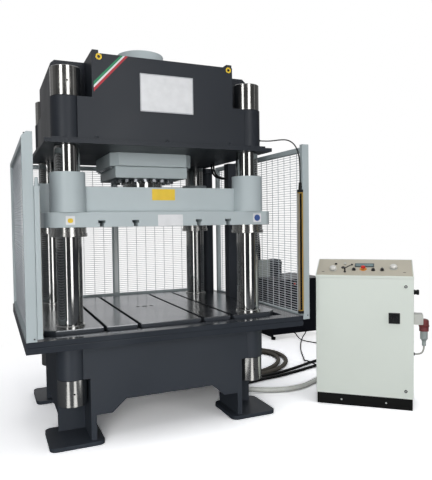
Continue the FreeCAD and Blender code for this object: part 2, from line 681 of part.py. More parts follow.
def mesh_along_y(name, x, y, z):
    """Wire mesh in a plane of constant X: level wires, and stays behind them."""
    level = int((val(z[1]) - val(z[0])) / val("wire_pitch"))
    stays = int((val(y[1]) - val(y[0])) / val("stay_pitch"))
    z_start = f"(({z[0]})+({z[1]})-{level - 1}*wire_pitch-wire)/2"
    y_start = f"(({y[0]})+({y[1]})-{stays - 1}*stay_pitch-wire)/2"
    rows = wires(name + "_level", "XZ_Plane", ((x, f"{x}+wire"), (z_start, f"{z_start}+wire")),
                 y[0], y[1], "wire_pitch", "V_Axis", level)
    posts = wires(name + "_stays", "XY_Plane",
                  ((f"{x}+wire", f"{x}+2*wire"), (y_start, f"{y_start}+wire")),
                  z[0], z[1], "stay_pitch", "V_Axis", stays)
    return group(name, [rows, posts])


def mesh_along_x(name, x, y, z):
    """Wire mesh in a plane of constant Y."""
    level = int((val(z[1]) - val(z[0])) / val("wire_pitch"))
    stays = int((val(x[1]) - val(x[0])) / val("stay_pitch"))
    z_start = f"(({z[0]})+({z[1]})-{level - 1}*wire_pitch-wire)/2"
    x_start = f"(({x[0]})+({x[1]})-{stays - 1}*stay_pitch-wire)/2"
    rows = wires(name + "_level", "YZ_Plane", ((y, f"{y}+wire"), (z_start, f"{z_start}+wire")),
                 x[0], x[1], "wire_pitch", "V_Axis", level)
    posts = wires(name + "_stays", "XY_Plane",
                  ((x_start, f"{x_start}+wire"), (f"{y}+wire", f"{y}+2*wire")),
                  z[0], z[1], "stay_pitch", "H_Axis", stays)
    return group(name, [rows, posts])


guard_front = "-ledge_y/2"


def left_guard():
    """Screen on the ledge's left end: wide front post, rails and a back post."""
    bar_x = ("left_edge", "left_edge+guard_bar")
    post_x = ("left_edge", "left_edge+left_post_x")
    tip = [(post_x[0], "ledge_top"), (post_x[1], "ledge_top"),
           (post_x[1], "guard_top+left_post_tip"),
           (f"{post_x[0]}+left_post_tip", "guard_top+left_post_tip"), (post_x[0], "guard_top")]
    inner = (f"{guard_front}+guard_bar", "guard_back_y-guard_bar")
    return fuse("left_guard", [
        prism("left_post", "XZ_Plane", tip, guard_front, f"{guard_front}+guard_bar"),
        box("left_back_post", bar_x, (inner[1], "guard_back_y"), ("ledge_top", "guard_top")),
        box("left_top_rail", bar_x, inner, ("guard_top-guard_bar", "guard_top")),
        box("left_low_rail", bar_x, inner, ("ledge_top", "ledge_top+guard_bar"))])


def right_guard():
    """Screen outside the ledge's right end, on its side face."""
    low = "ledge_x/2"
    bar_x = (low, f"{low}+guard_bar")
    inner = (f"{guard_front}+guard_bar", "guard_back_y-guard_bar")
    return fuse("right_guard", [
        box("right_post", (low, f"{low}+right_post_x"), (guard_front, inner[0]),
            ("right_post_bottom", "right_post_top")),
        box("right_back_post", bar_x, (inner[1], "guard_back_y"),
            ("right_post_bottom", "right_rail_top")),
        box("right_top_rail", bar_x, inner, ("right_rail_top-guard_bar", "right_rail_top")),
        box("right_low_rail", bar_x, inner,
            ("right_post_bottom", "right_post_bottom+guard_bar"))])


def rear_guard():
    """Screen along the back of the ledge, with a middle post."""
    y = ("rear_guard_y", "rear_guard_y+guard_bar")
    x = both("rear_guard_x")
    high = ("ledge_top", "guard_top")
    return fuse("rear_guard", [
        box("rear_left_post", (x[0], f"{x[0]}+guard_bar"), y, high),
        box("rear_right_post", (f"{x[1]}-guard_bar", x[1]), y, high),
        box("rear_middle_post", ("rear_post_at-rear_post_x/2", "rear_post_at+rear_post_x/2"),
            y, high),
        box("rear_top_rail", x, y, ("guard_top-guard_bar", "guard_top")),
        box("rear_low_rail", x, y, ("ledge_top", "ledge_top+guard_bar"))])


mesh_y = (f"{guard_front}+guard_bar", "guard_back_y-guard_bar")
mesh_in = "guard_bar/2-wire"
node("guard_left_frame", left_guard())
node("guard_left_mesh", mesh_along_y("left_mesh", f"left_edge+{mesh_in}", mesh_y,
                                     ("ledge_top+guard_bar", "guard_top-guard_bar")))
node("guard_right_frame", right_guard())
node("guard_right_mesh", mesh_along_y(
    "right_mesh", f"ledge_x/2+{mesh_in}", mesh_y,
    ("right_post_bottom+guard_bar", "right_rail_top-guard_bar")))
node("guard_rear_frame", rear_guard())
node("guard_rear_mesh", group("rear_meshes", [
    mesh_along_x("rear_mesh_left", ("-rear_guard_x/2+guard_bar", "rear_post_at-rear_post_x/2"),
                 f"rear_guard_y+{mesh_in}", ("ledge_top+guard_bar", "guard_top-guard_bar")),
    mesh_along_x("rear_mesh_right", ("rear_post_at+rear_post_x/2", "rear_guard_x/2-guard_bar"),
                 f"rear_guard_y+{mesh_in}", ("ledge_top+guard_bar", "guard_top-guard_bar"))]))


def curtain(tag, x):
    """One bar of the light curtain, with the round connector on top."""
    y = (f"{guard_front}-curtain_width/2+curtain_proud",
         f"{guard_front}+curtain_width/2+curtain_proud")
    bar = box("curtain_" + tag, x, y, ("curtain_bottom", "curtain_top"))
    knob = rod("curtain_plug_" + tag, (f"(({x[0]})+({x[1]}))/2", f"(({y[0]})+({y[1]}))/2",
                                       "curtain_top"), "curtain_plug_dia", "curtain_plug")
    return fuse("curtain_bar_" + tag, [bar, knob])


node("light_curtains", group("curtains", [
    curtain("left", ("left_edge+left_post_x", "left_edge+left_post_x+curtain_width")),
    curtain("right", ("ledge_x/2-curtain_width", "ledge_x/2"))]))

# ---------------------------------------------------------------- risers on the ledge
duct_y = ("duct_y", "duct_y+duct_width")
node("cable_duct", cut("duct", box("duct_outer", ("duct_x", "duct_x+duct_width"), duct_y,
                                   ("ledge_top", "flange_bottom")),
                       [box("duct_inner",
                            ("duct_x+duct_wall", "duct_x+duct_width-duct_wall"),
                            ("duct_y+duct_wall", "duct_y+duct_width-duct_wall"),
                            ("ledge_top+duct_wall", "flange_bottom+plate"))]))
node("riser_pipe", turned("riser", [
    ("0", "ledge_top"), ("riser_dia/2", "ledge_top"),
    ("riser_dia/2", "flange_bottom-riser_cap"), ("riser_cap_dia/2", "flange_bottom-riser_cap"),
    ("riser_cap_dia/2", "flange_bottom"), ("0", "flange_bottom")],
    ("riser_x", "riser_y", "0")))

# ---------------------------------------------------------------- power unit
tank_x = ("tank_x", "tank_x+tank_length")
tank_y = ("tank_y", "tank_y+tank_depth")


def oil_tank():
    inner = ("tank_x+tank_plate", "tank_x+tank_length-tank_plate")
    ends = ("tank_plate_bottom", "tank_top")
    return fuse("tank", [
        box("tank_body", inner, tank_y, ("tank_bottom", "tank_top")),
        box("tank_left_plate", (tank_x[0], inner[0]), tank_y, ends),
        box("tank_right_plate", (inner[1], tank_x[1]), tank_y, ends)])


def tank_feet():
    feet = []
    for x in ("tank_x+tank_foot_dia/2", "tank_x+tank_length-tank_foot_dia/2"):
        for y in ("tank_y+tank_foot_inset", "tank_y+tank_depth-tank_foot_inset"):
            feet.append(rod(f"tank_foot_{len(feet) + 1}", (x, y, "0"), "tank_foot_dia",
                            "tank_plate_bottom"))
    return group("tank_feet_group", feet)


def motor():
    """Upright motor: flange, body and the bevelled fan cowl."""
    radius, rim, cowl = "motor_dia/2", "motor_flange_dia/2", "motor_dia/2+cowl_past"
    shoulder, cowl_low = "lid_top+motor_flange_height", "motor_top-cowl_height"
    bevel_low = "motor_top-cowl_height+cowl_rim_height"
    profile = [("0", "lid_top"), (rim, "lid_top"), (rim, shoulder), (radius, shoulder),
               (radius, cowl_low), (cowl, cowl_low), (cowl, bevel_low),
               (f"{radius}-cowl_bevel", "motor_top"), ("0", "motor_top")]
    return turned("motor", profile, ("motor_x", "motor_y", "0"))


lid_x = ("tank_x-tank_lid_margin", "tank_x+tank_length+tank_lid_margin")
lid_y = ("tank_y-tank_lid_margin", "tank_y+tank_depth+tank_lid_margin")
node("oil_tank", oil_tank())
node("tank_lid", box("lid", lid_x, lid_y, ("tank_top", "lid_top")))
node("tank_feet", tank_feet())
node("pump_motor", motor())
filter_x = ("tank_x+tank_lid_margin", "tank_x+tank_lid_margin+filter_width")
filter_y = ("tank_y+filter_set_back", "tank_y+filter_set_back+filter_depth")
node("tank_fittings", group("tank_fittings_group", [
    box("filter", filter_x, filter_y, ("lid_top", "lid_top+filter_height")),
    turned("filler", [
        ("0", "lid_top"), ("filler_neck_dia/2", "lid_top"),
        ("filler_neck_dia/2", "lid_top+filler_neck_height"),
        ("filler_dia/2", "lid_top+filler_neck_height"),
        ("filler_dia/2", "lid_top+filler_height"), ("0", "lid_top+filler_height")],
        ("filler_x", "filler_y", "0"))]))

# ---------------------------------------------------------------- control cabinet
yaw = Rotation(Vector(0, 0, 1), val("cabinet_turn"))
cabinet = Placement(Vector(val("cabinet_at_x"), val("cabinet_at_y"), 0), yaw)
front = "door_thickness+door_gap"
roof_front = f"cabinet_front+panel_slope*({front})"
tilt = Placement(Vector(0, 0, val("cabinet_front-table_height")),
                 Rotation(Vector(1, 0, 0), math.degrees(math.atan(val("panel_slope"))))).multiply(
    Placement(Vector(0, 0, val("table_height")), Rotation()))
console = cabinet.multiply(tilt)


def housing():
    """Sheet housing with a sloping top: the outline, and a smaller one taken out of it."""
    head = "door_top+door_gap"
    outline = [("cabinet_y", "plinth_height"), ("cabinet_y", "cabinet_back"),
               ("cabinet_back_y", "cabinet_back"), ("0", "cabinet_front"), ("0", head),
               (front, head), (front, "plinth_height")]
    shell = prism("housing_shell", "YZ_Plane", outline, "0", "cabinet_x")
    inner = [("cabinet_y-sheet", "plinth_height+sheet"), ("cabinet_y-sheet", "cabinet_back-sheet"),
             ("cabinet_back_y", "cabinet_back-sheet"), (f"{front}+sheet", f"{roof_front}-sheet"),
             (f"{front}+sheet", "plinth_height+sheet")]
    room = prism("housing_room", "YZ_Plane", inner, "sheet", "cabinet_x-sheet")
    mouth = box("housing_mouth", ("door_return", "cabinet_x-door_return"),
                ("0", f"{front}+2*sheet"), ("plinth_height+door_return", "door_top-door_return"))
    window = seat(box("housing_window", ("window_margin", "cabinet_x-window_margin"),
                      ("window_margin+door_return", "slope_length-window_margin"),
                      ("-plate", "plate")), tilt)
    return cut("housing", shell, [room, mouth, window])


def door():
    """Folded door pan: a skin and a rim turned back."""
    x = ("door_margin", "cabinet_x-door_margin")
    z = ("plinth_height+2", "door_top")
    skin = box("door_block", x, ("0", "door_thickness"), z)
    pan = box("door_pan", (f"{x[0]}+sheet", f"{x[1]}-sheet"), ("sheet", "door_thickness+sheet"),
              (f"{z[0]}+sheet", f"{z[1]}-sheet"))
    return cut("door", skin, [pan])


def gear():
    """Mounting plate on four stand-offs, with the control gear in rows."""
    back = "cabinet_y-sheet"
    plate_y = (f"{back}-stand_off-gear_plate", f"{back}-stand_off")
    pieces = [box("gear_plate_sheet", ("60", "cabinet_x-60"), plate_y, ("170", "1040"))]
    for x in ("80", "cabinet_x-80"):
        for z in ("200", "1010"):
            pieces.append(rod(f"stand_off_{len(pieces)}", (x, plate_y[1], z), "stand_off_dia",
                              "stand_off", "y"))
    for k, (low, tall, x, deep) in enumerate(GEAR_ROWS, start=1):
        pieces.append(box(f"gear_{k}", x, (f"{plate_y[0]}-{deep}", plate_y[0]),
                          (low, f"{low}+{tall}")))
    return fuse("gear", pieces)


# Each block of gear: its lowest height, how tall it is, its span across, how deep it is.
GEAR_ROWS = [("900", "90", ("110", "320"), "70"), ("900", "110", ("340", "470"), "90"),
             ("700", "85", ("110", "690"), "75"), ("480", "130", ("110", "400"), "120"),
             ("480", "90", ("430", "690"), "80"), ("250", "60", ("110", "690"), "55")]
cam_back = f"{front}+2*sheet+door_gap"


def lock(name, z):
    """Quarter-turn lock: a round head in front and a cam that hangs behind the door."""
    head = rod(name + "_head", ("lock_x", "-lock_head", z), "lock_dia", "lock_head", "y")
    shank = rod(name + "_shank", ("lock_x", "0", z), "lock_shank_dia", cam_back, "y")
    cam = box(name + "_cam", ("lock_x-lock_shank_dia/2", "lock_x+lock_shank_dia/2"),
              (f"{cam_back}-sheet", cam_back), (f"{z}-cam_reach", z))
    return fuse(name, [head, shank, cam])


def door_with_holes():
    """The door, bored for its two locks and the main switch's shaft."""
    holes = [rod(f"lock_hole_{k}", ("lock_x", "-sheet", z), "lock_shank_dia+2*bore_gap",
                 "3*sheet", "y") for k, z in enumerate(("lock_upper_z", "lock_lower_z"))]
    holes.append(rod("switch_hole", ("switch_x", "-sheet", "switch_z"),
                     "switch_shaft_dia+2*bore_gap", "3*sheet", "y"))
    return cut("door_drilled", door(), holes)


def switch_plate():
    """The square plate round the main switch's knob."""
    half = "switch_plate/2"
    block = box("switch_plate_block", (f"switch_x-{half}", f"switch_x+{half}"),
                ("-switch_plate_thickness", "0"), (f"switch_z-{half}", f"switch_z+{half}"))
    hole = rod("switch_plate_hole", ("switch_x", "-2*switch_plate_thickness", "switch_z"),
               "switch_knob_dia+2*seat_gap", "3*switch_plate_thickness", "y")
    return cut("switch_plate_body", block, [hole])


def switch_handle():
    """The main switch's knob with its grip, and the shaft that goes through the door."""
    half = "switch_grip_width/2"
    return fuse("switch_handle", [
        rod("switch_knob", ("switch_x", "-switch_knob_height", "switch_z"),
            "switch_knob_dia", "switch_knob_height", "y"),
        box("switch_grip", (f"switch_x-{half}", f"switch_x+{half}"),
            ("-switch_grip_height", "-switch_knob_height/2"),
            ("switch_z-switch_grip_length/2", "switch_z+switch_grip_length/2")),
        rod("switch_shaft", ("switch_x", "-switch_plate_thickness", "switch_z"),
            "switch_shaft_dia", "switch_plate_thickness+switch_shaft_length", "y")])


plinth_x = ("plinth_set_back", "cabinet_x-plinth_set_back")
plinth_y = ("plinth_set_back", "cabinet_y-plinth_set_back")
node("cabinet_housing", seat(housing(), cabinet))
node("cabinet_plinth", seat(box("plinth", plinth_x, plinth_y, ("0", "plinth_height")), cabinet))
node("cabinet_gear", seat(gear(), cabinet))
node("cabinet_door", seat(door_with_holes(), cabinet))
node("door_lock_upper", seat(lock("upper_lock", "lock_upper_z"), cabinet))
node("door_lock_lower", seat(lock("lower_lock", "lock_lower_z"), cabinet))
node("main_switch_plate", seat(switch_plate(), cabinet))
node("main_switch_handle", seat(switch_handle(), cabinet))

# ---------------------------------------------------------------- console on the cabinet's slope
# Places on the slope: along the cabinet's front, and up the slope from its lower edge.
PALM_LEFT, PALM_RIGHT = ("142", "94"), ("643", "133")
STOP_AT, PUSH_AT, LEVER_AT = ("394", "114"), ("237", "205"), ("243", "59")
KNOBS = {"selector_left": ("317", "99"), "selector_middle": ("477", "96"),
         "selector_right": ("550", "98")}
DISPLAY_AT, KEY_AT, LAMP_AT = ("323", "151"), ("224", "133"), ("159", "204")
above_panel = "panel_thickness+stem_gap"


def stem(name, at, top):
    """The round stem that carries a button or a knob through the panel."""
    return rod(name + "_stem", (*at, "-stem_below"), "stem_dia", f"stem_below+{top}")


def mushroom(name, at, kind, under):
    """A round push button: a rim and a bevelled crown on a stem, clear of what lies under it."""
    radius, low = f"{kind}_dia/2", f"panel_thickness+{under}+{kind}_travel+press_gap"
    top = f"{low}+{kind}_height"
    cap = [("0", low), (radius, low), (radius, f"{low}+{kind}_height/2"),
           (f"{radius}*2/3", top), ("0", top)]
    return fuse(name, [stem(name, at, low), turned(name + "_cap", cap, (*at, "0"))])


def push():
    """A small flat push button."""
    low = "panel_thickness+push_travel+press_gap"
    return fuse("push", [stem("push", PUSH_AT, low),
                         rod("push_cap", (*PUSH_AT, low), "push_dia", "push_height")])


def selector(name, at):
    """A round knob with a raised grip bar."""
    x, y = at
    low, reach = above_panel, "knob_dia*0.46"
    return fuse(name, [
        stem(name, at, low), rod(name + "_knob", (x, y, low), "knob_dia", "knob_height"),
        box(name + "_grip", (f"{x}-knob_grip_width/2", f"{x}+knob_grip_width/2"),
            (f"{y}-{reach}", f"{y}+{reach}"),
            (f"{low}+knob_height", f"{low}+knob_height+knob_grip_height"))])


def lever():
    """A hand lever: a tall hub, an arm above the knobs and a round end."""
    x, y = LEVER_AT
    reach_x, reach_y = val("lever_reach_x"), val("lever_reach_y")
    low = above_panel
    arm = doc.addObject("Part::Cylinder", "lever_arm")
    bind(arm, "Radius", "lever_arm_dia/2")
    bind(arm, "Height", "sqrt(lever_reach_x^2+lever_reach_y^2)")
    arm.Placement = Placement(
        Vector(val(x), val(y), val(f"{low}+lever_rise-table_height")),
        Rotation(Vector(0, 0, 1), math.degrees(math.atan2(reach_y, reach_x))).multiply(TURNS["x"]))
    radius, half = "lever_end_dia/2", "lever_end_height/2"
    middle = f"{low}+lever_rise"
    end = turned("lever_end", [
        ("0", f"{middle}-{half}"), (f"{radius}*0.7", f"{middle}-{half}"), (radius, middle),
        (f"{radius}*0.7", f"{middle}+{half}"), ("0", f"{middle}+{half}")],
        (f"{x}+lever_reach_x", f"{y}+lever_reach_y", "0"))
    return fuse("lever_whole", [
        stem("lever", LEVER_AT, low),
        rod("lever_hub", (x, y, low), "lever_hub_dia", "lever_rise+lever_arm_dia"), arm, end])


def panel():
    """The sloping control panel, bored for what stands on it."""
    plate = box("panel_plate", ("panel_margin_x", "cabinet_x-panel_margin_x"),
                ("panel_margin_y", "slope_length-panel_margin_y"), ("0", "panel_thickness"))
    spots = [PALM_LEFT, PALM_RIGHT, STOP_AT, PUSH_AT, LEVER_AT, *KNOBS.values()]
    holes = [rod(f"panel_hole_{k}", (*at, "-panel_thickness"), "stem_dia+2*seat_gap",
                 "3*panel_thickness") for k, at in enumerate(spots)]
    return cut("panel", plate, holes)


def ring(name, at, outer, height):
    """A flat collar on the panel, round a stem."""
    inner, low = "(stem_dia/2+collar_bore_gap)", "panel_thickness"
    profile = [(inner, low), (f"{outer}/2", low), (f"{outer}/2", f"{low}+{height}"),
               (inner, f"{low}+{height}")]
    return turned(name, profile, (*at, "0"))


def fittings():
    """What stays still on the panel: display, key switch, lamp and collars."""
    x, y = DISPLAY_AT
    low = "panel_thickness"
    return group("console_fittings_group", [
        box("display", (x, f"{x}+display_width"), (y, f"{y}+display_depth"),
            (low, f"{low}+display_height")),
        rod("key_switch", (*KEY_AT, low), "30", "9"), rod("lamp", (*LAMP_AT, low), "24", "10"),
        ring("palm_left_collar", PALM_LEFT, "palm_collar", "palm_collar_height"),
        ring("palm_right_collar", PALM_RIGHT, "palm_collar", "palm_collar_height"),
        ring("stop_collar", STOP_AT, "stop_collar", "stop_collar_height")])


node("console_panel", seat(panel(), console))
node("console_fittings", seat(fittings(), console))
node("palm_button_left", seat(mushroom("palm_left", PALM_LEFT, "palm", "palm_collar_height"),
                              console))
node("palm_button_right", seat(mushroom("palm_right", PALM_RIGHT, "palm", "palm_collar_height"),
                               console))
node("emergency_stop", seat(mushroom("stop", STOP_AT, "stop", "stop_collar_height"), console))
node("push_button", seat(push(), console))
node("control_lever", seat(lever(), console))
for name, at in KNOBS.items():
    node(name, seat(selector(name + "_body", at), console))

# ---------------------------------------------------------------- socket and plug on its side


def socket():
    """The wall socket: its body on the cabinet's side, and the collar that looks down."""
    y = ("socket_y-socket_body_width/2", "socket_y+socket_body_width/2")
    return fuse("socket_whole", [
        box("socket_body", ("cabinet_x", "cabinet_x+socket_body_out"), y,
            ("socket_low", "socket_high")),
        rod("socket_collar", ("socket_x", "socket_y", "plug_top"), "socket_collar_dia",
            "socket_collar_height")])


def plug():
    """The plug that hangs in it: neck, shoulder, body and ring."""
    neck, radius, rim = "plug_neck_dia/2", "plug_dia/2", "plug_ring_dia/2"
    waist, shoulder = "plug_bottom+plug_neck_height", "plug_bottom+plug_neck_height+plug_shoulder"
    under = "plug_top-plug_ring_height"
    return turned("plug_whole", [
        ("0", "plug_bottom"), (neck, "plug_bottom"), (neck, waist), (radius, shoulder),
        (radius, under), (rim, under), (rim, "plug_top"), ("0", "plug_top")],
        ("socket_x", "socket_y", "0"))


# Where each line enters the cabinet's back, across it, and how thick the line is.
CABINET_PORTS = {"conduit": ("553", "conduit_dia"), "cable_b": ("601", "cable_dia"),
                 "hose_b": ("640", "supply_dia"), "hose_a": ("720", "supply_dia"),
                 "cable_a": ("765", "cable_dia")}
node("power_socket", seat(socket(), cabinet))
node("power_plug", seat(plug(), cabinet))
node("cabinet_glands", seat(group("glands", [
    rod("gland_" + name, (x, "cabinet_y-plinth_set_back", "port_height"), f"{dia}+gland_past",
        "gland_length", "y") for name, (x, dia) in CABINET_PORTS.items()]
    + [rod("gland_plug_lead", ("cabinet_x", "socket_y", "lead_height"), "lead_gland_dia",
           "lead_gland_length", "x")]), cabinet))

# ---------------------------------------------------------------- hoses, cables and pipe
node("hose_block", box("hose_block_body", ("block_front_x-block_depth", "block_front_x"),
                       ("-block_front_y", "wing_y/2-cross_plate"),
                       ("foot_thickness", "wing_bottom")))


def on_floor(x, y, height):
    return Vector(x, y, height - val("table_height"))


def in_cabinet(x, y, height):
    """A point of the cabinet's own frame, in the press's frame."""
    return cabinet.multVec(Vector(val(x), val(y), val(f"{height}-table_height")))


def section_of(start, ahead, dia, sides):
    """A flat-sided section round the path's start, its corners on the tube's circle."""
    across = Rotation(Vector(0, 0, 1), ahead)
    corners = []
    for k in range(sides):
        turn = 2 * math.pi * (k + 0.5) / sides
        rim = Vector(math.cos(turn), math.sin(turn), 0) * (dia / 2)
        corners.append(start + across.multVec(rim))
    return Part.makePolygon(corners + corners[:1])


def tube(name, points, dia, sides, bend=None):
    """A tube of flat sides, on straight runs joined by tangent arcs."""
    dia = val(dia)
    corners, trims, radii = points[1:-1], [], []
    for before, corner, after in zip(points, corners, points[2:]):
        half_turn = (corner - before).getAngle(after - corner) / 2
        shorter = min((corner - before).Length, (after - corner).Length)
        radius = bend or 0.45 * shorter / math.tan(half_turn)
        radii.append(radius)
        trims.append(radius * math.tan(half_turn))
    edges, start = [], points[0]
    for corner, after, trim, radius in zip(corners, points[2:], trims, radii):
        into = (corner - start).normalize()
        out = Vector(after - corner).normalize()
        first, last = corner - into * trim, corner + out * trim
        inward = (out - into).normalize()
        middle = corner + inward * (math.hypot(radius, trim) - radius)
        edges.append(Part.LineSegment(start, first).toShape())
        edges.append(Part.Arc(first, middle, last).toShape())
        start = last
    edges.append(Part.LineSegment(start, points[-1]).toShape())
    path = Part.Wire(edges)
    ahead = (points[1] - points[0]).normalize()
    piece = doc.addObject("Part::Feature", name + "_tube")
    piece.Shape = path.makePipeShell([section_of(points[0], ahead, dia, sides)], True, False)
    expected = sides / 8 * math.sin(2 * math.pi / sides) * dia ** 2 * path.Length
    runs = [(b - a).Length for a, b in zip(points, points[1:])]
    print(f"{name:18} length {path.Length:7.0f} least radius {min(radii):6.0f} "
          f"({min(radii) / dia:4.1f} diameters) runs {min(runs):4.0f}-{max(runs):4.0f} "
          f"volume ratio {piece.Shape.Volume / expected:.4f}")
    return piece


def block_port(y, out):
    """The hose block's port at a place along it, and a point straight out of it."""
    face, height = val("block_front_x"), val("port_height")
    return [on_floor(face, y, height), on_floor(face + out, y, height)]


def cabinet_port(name, out):
    """A point straight out of one of the cabinet's glands, and the gland's end."""
    x = CABINET_PORTS[name][0]
    face = "cabinet_y-plinth_set_back+gland_length"
    return [in_cabinet(x, f"{face}+{out}", "port_height"), in_cabinet(x, face, "port_height")]


def tank_side(y, out):
    """A point straight out of the tank's left end, and the point on it."""
    face, height = val("tank_x"), val("tank_port_height")
    return [on_floor(face - out, y, height), on_floor(face, y, height)]


def tank_front(cable, out):
    """A cable's point on the tank's front, and a point straight out of it."""
    x, face = val(f"tank_x+{cable}_from_left"), val("tank_y")
    height = val(f"{cable}_height")
    return [on_floor(x, face, height), on_floor(x, face - out, height)]


def flat_route(points, height):
    return [on_floor(x, y, height) for x, y in points]


ROUND_SIDES, SLIM_SIDES = 8, 6
CONDUIT = [(1060, -250), (1250, -318), (1440, -308), (1612, -224), (1785, -134),
           (1965, -130), (2109, -220), (2181, -368), (2164, -532)]
HOSE_A = [(1010, 128), (1249, 162), (1567, 225), (1809, 318), (2059, 422), (2280, 462),
          (2465, 395), (2570, 225), (2590, 10), (2550, -205), (2470, -385), (2385, -540),
          (2292, -668)]
HOSE_B = [(1000, 36), (1200, 88), (1438, 107), (1727, 185), (1944, 253), (2160, 296),
          (2330, 232), (2420, 92), (2440, -88), (2400, -275), (2316, -445), (2222, -600)]
RETURN_OUTER = [(1010, 216), (1175, 206), (1350, 230), (1568, 326), (1752, 500), (1851, 714),
                (1858, 948), (1748, 1122), (1560, 1230), (1400, 1340), (1315, 1545),
                (1400, 1750), (1610, 1845), (1840, 1872)]
RETURN_INNER = [(1010, 284), (1170, 272), (1340, 304), (1520, 398), (1680, 550), (1775, 730),
                (1776, 920), (1680, 1060), (1480, 1160), (1290, 1310), (1215, 1530),
                (1285, 1760), (1480, 1915), (1720, 1985), (1900, 1992)]
CABLE_A = [(2530, 1300), (2585, 1180), (2645, 1025), (2690, 850), (2720, 670),
           (2732, 490), (2730, 300), (2712, 110), (2672, -70), (2606, -230),
           (2532, -375), (2450, -512), (2374, -626), (2298, -724)]
CABLE_B = [(2350, 1150), (2250, 995), (2150, 820), (2068, 655), (1985, 505)]
OVER_HOSES = [on_floor(1950, 400, 40), on_floor(1940, 300, 44), on_floor(1945, 210, 40),
              on_floor(1968, 105, 14)]
CABLE_B_END = [(2035, 15), (2130, -45), (2205, -140), (2248, -265), (2245, -400), (2228, -520),
               (2170, -630)]
CURTAIN_LEAD = [(1032, -919, 1900), (1032, -919, 2005), (1030, -912, 2110), (1020, -872, 2200),
                (1001, -795, 2250), (978, -706, 2262), (952, -638, 2262), (905, -600, 2262),
                (845, -600, 2262)]
node("floor_conduit", tube("floor_conduit", block_port(-190, 130) + flat_route(CONDUIT, 26)
                           + cabinet_port("conduit", 120), "conduit_dia", ROUND_SIDES))
node("supply_hoses", group("supply_hoses_group", [
    tube("supply_hose_a", block_port(110, 100) + flat_route(HOSE_A, 16)
         + cabinet_port("hose_a", 110), "supply_dia", SLIM_SIDES),
    tube("supply_hose_b", block_port(20, 100) + flat_route(HOSE_B, 16)
         + cabinet_port("hose_b", 110), "supply_dia", SLIM_SIDES)]))
node("return_hoses", group("return_hoses_group", [
    tube("return_hose_outer", block_port(226, 110) + flat_route(RETURN_OUTER, 24)
         + tank_side(1872, 130), "return_dia", ROUND_SIDES),
    tube("return_hose_inner", block_port(292, 110) + flat_route(RETURN_INNER, 24)
         + tank_side(1992, 110), "return_dia", ROUND_SIDES)]))
node("tank_cables", group("tank_cables_group", [
    tube("tank_cable_a", tank_front("cable_a", 45)
         + [on_floor(2493, 1450, 44), on_floor(2503, 1385, 14)]
         + flat_route(CABLE_A, 8) + cabinet_port("cable_a", 90), "cable_dia", SLIM_SIDES),
    tube("tank_cable_b", tank_front("cable_b", 55)
         + [on_floor(2615, 1445, 76), on_floor(2540, 1392, 50), on_floor(2450, 1290, 22)]
         + flat_route(CABLE_B, 8) + OVER_HOSES + flat_route(CABLE_B_END, 8)
         + cabinet_port("cable_b", 80), "cable_dia", SLIM_SIDES)]))
node("plug_lead", tube("plug_lead", [
    in_cabinet("socket_x", "socket_y", "plug_bottom"),
    in_cabinet("socket_x", "socket_y", "(plug_bottom-lead_drop)"),
    in_cabinet("socket_x-31.1", "socket_y", "lead_height"),
    in_cabinet("cabinet_x+lead_gland_length", "socket_y", "lead_height")],
    "lead_dia", SLIM_SIDES))
node("curtain_lead", tube("curtain_lead", [on_floor(*point) for point in CURTAIN_LEAD],
                          "curtain_lead_dia", SLIM_SIDES))
node("duct_leads", group("duct_leads_group", [
    tube(f"duct_lead_{k}", [on_floor(765, y, 2157), on_floor(765, y, 2075),
                            on_floor(825, y, 2013), on_floor(910, y, 2013)],
         "duct_lead_dia", SLIM_SIDES) for k, y in enumerate((195, 245), start=1)]))
node("pressure_pipe", tube("pressure_pipe", [
    on_floor(2230, 2000, val("lid_top+filter_height")), on_floor(2230, 2000, 1200),
    on_floor(2120, 1930, 1950), on_floor(1850, 1650, 2480), on_floor(1250, 800, 2640),
    on_floor(1000, 250, 2640), on_floor(val("head_wing_x/2"), 250, 2640)],
    "pipe_dia", ROUND_SIDES, bend=val("pipe_bend")))

doc.recompute()
broken = [piece.Name for piece in doc.Objects if {"Invalid", "Error"} & set(piece.State)]
if broken:
    raise RuntimeError(f"these did not build: {broken}")
os.makedirs("parts", exist_ok=True)
facets = 0
for name, piece in nodes.items():
    shape = piece.Shape
    if shape.isNull() or not shape.isValid():
        raise RuntimeError(f"{name} has no valid shape")
    shape.exportStep(f"parts/{name}.step")
    count = len(shape.tessellate(1.0)[1])
    facets += count
    print(f"{name:24} solids {len(shape.Solids):4} facets {count:6}")
print("nodes", len(nodes), "facets", facets)
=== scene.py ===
"""Looks of a four-column hydraulic press with its guards, power unit and control cabinet.

Metres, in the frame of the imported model: X along the table, Y to the back, Z up, and the
origin at the centre of the table's top face.
"""

import math

import bmesh
import bpy
import numpy as np
from mathutils import Matrix


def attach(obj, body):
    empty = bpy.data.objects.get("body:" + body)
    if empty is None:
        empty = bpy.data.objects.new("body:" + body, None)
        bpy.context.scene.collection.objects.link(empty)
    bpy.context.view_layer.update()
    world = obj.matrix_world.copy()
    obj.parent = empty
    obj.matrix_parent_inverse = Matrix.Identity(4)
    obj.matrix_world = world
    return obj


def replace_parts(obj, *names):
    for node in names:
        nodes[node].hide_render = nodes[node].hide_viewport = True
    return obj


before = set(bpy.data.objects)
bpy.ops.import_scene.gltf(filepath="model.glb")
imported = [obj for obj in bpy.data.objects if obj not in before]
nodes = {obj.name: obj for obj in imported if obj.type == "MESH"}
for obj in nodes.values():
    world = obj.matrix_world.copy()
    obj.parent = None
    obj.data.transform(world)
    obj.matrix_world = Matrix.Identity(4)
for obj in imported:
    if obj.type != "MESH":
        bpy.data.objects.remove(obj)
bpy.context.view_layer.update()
scene = bpy.context.scene

TABLE = 0.855  # the table's height above the floor

# ------------------------------------------------------------------ places


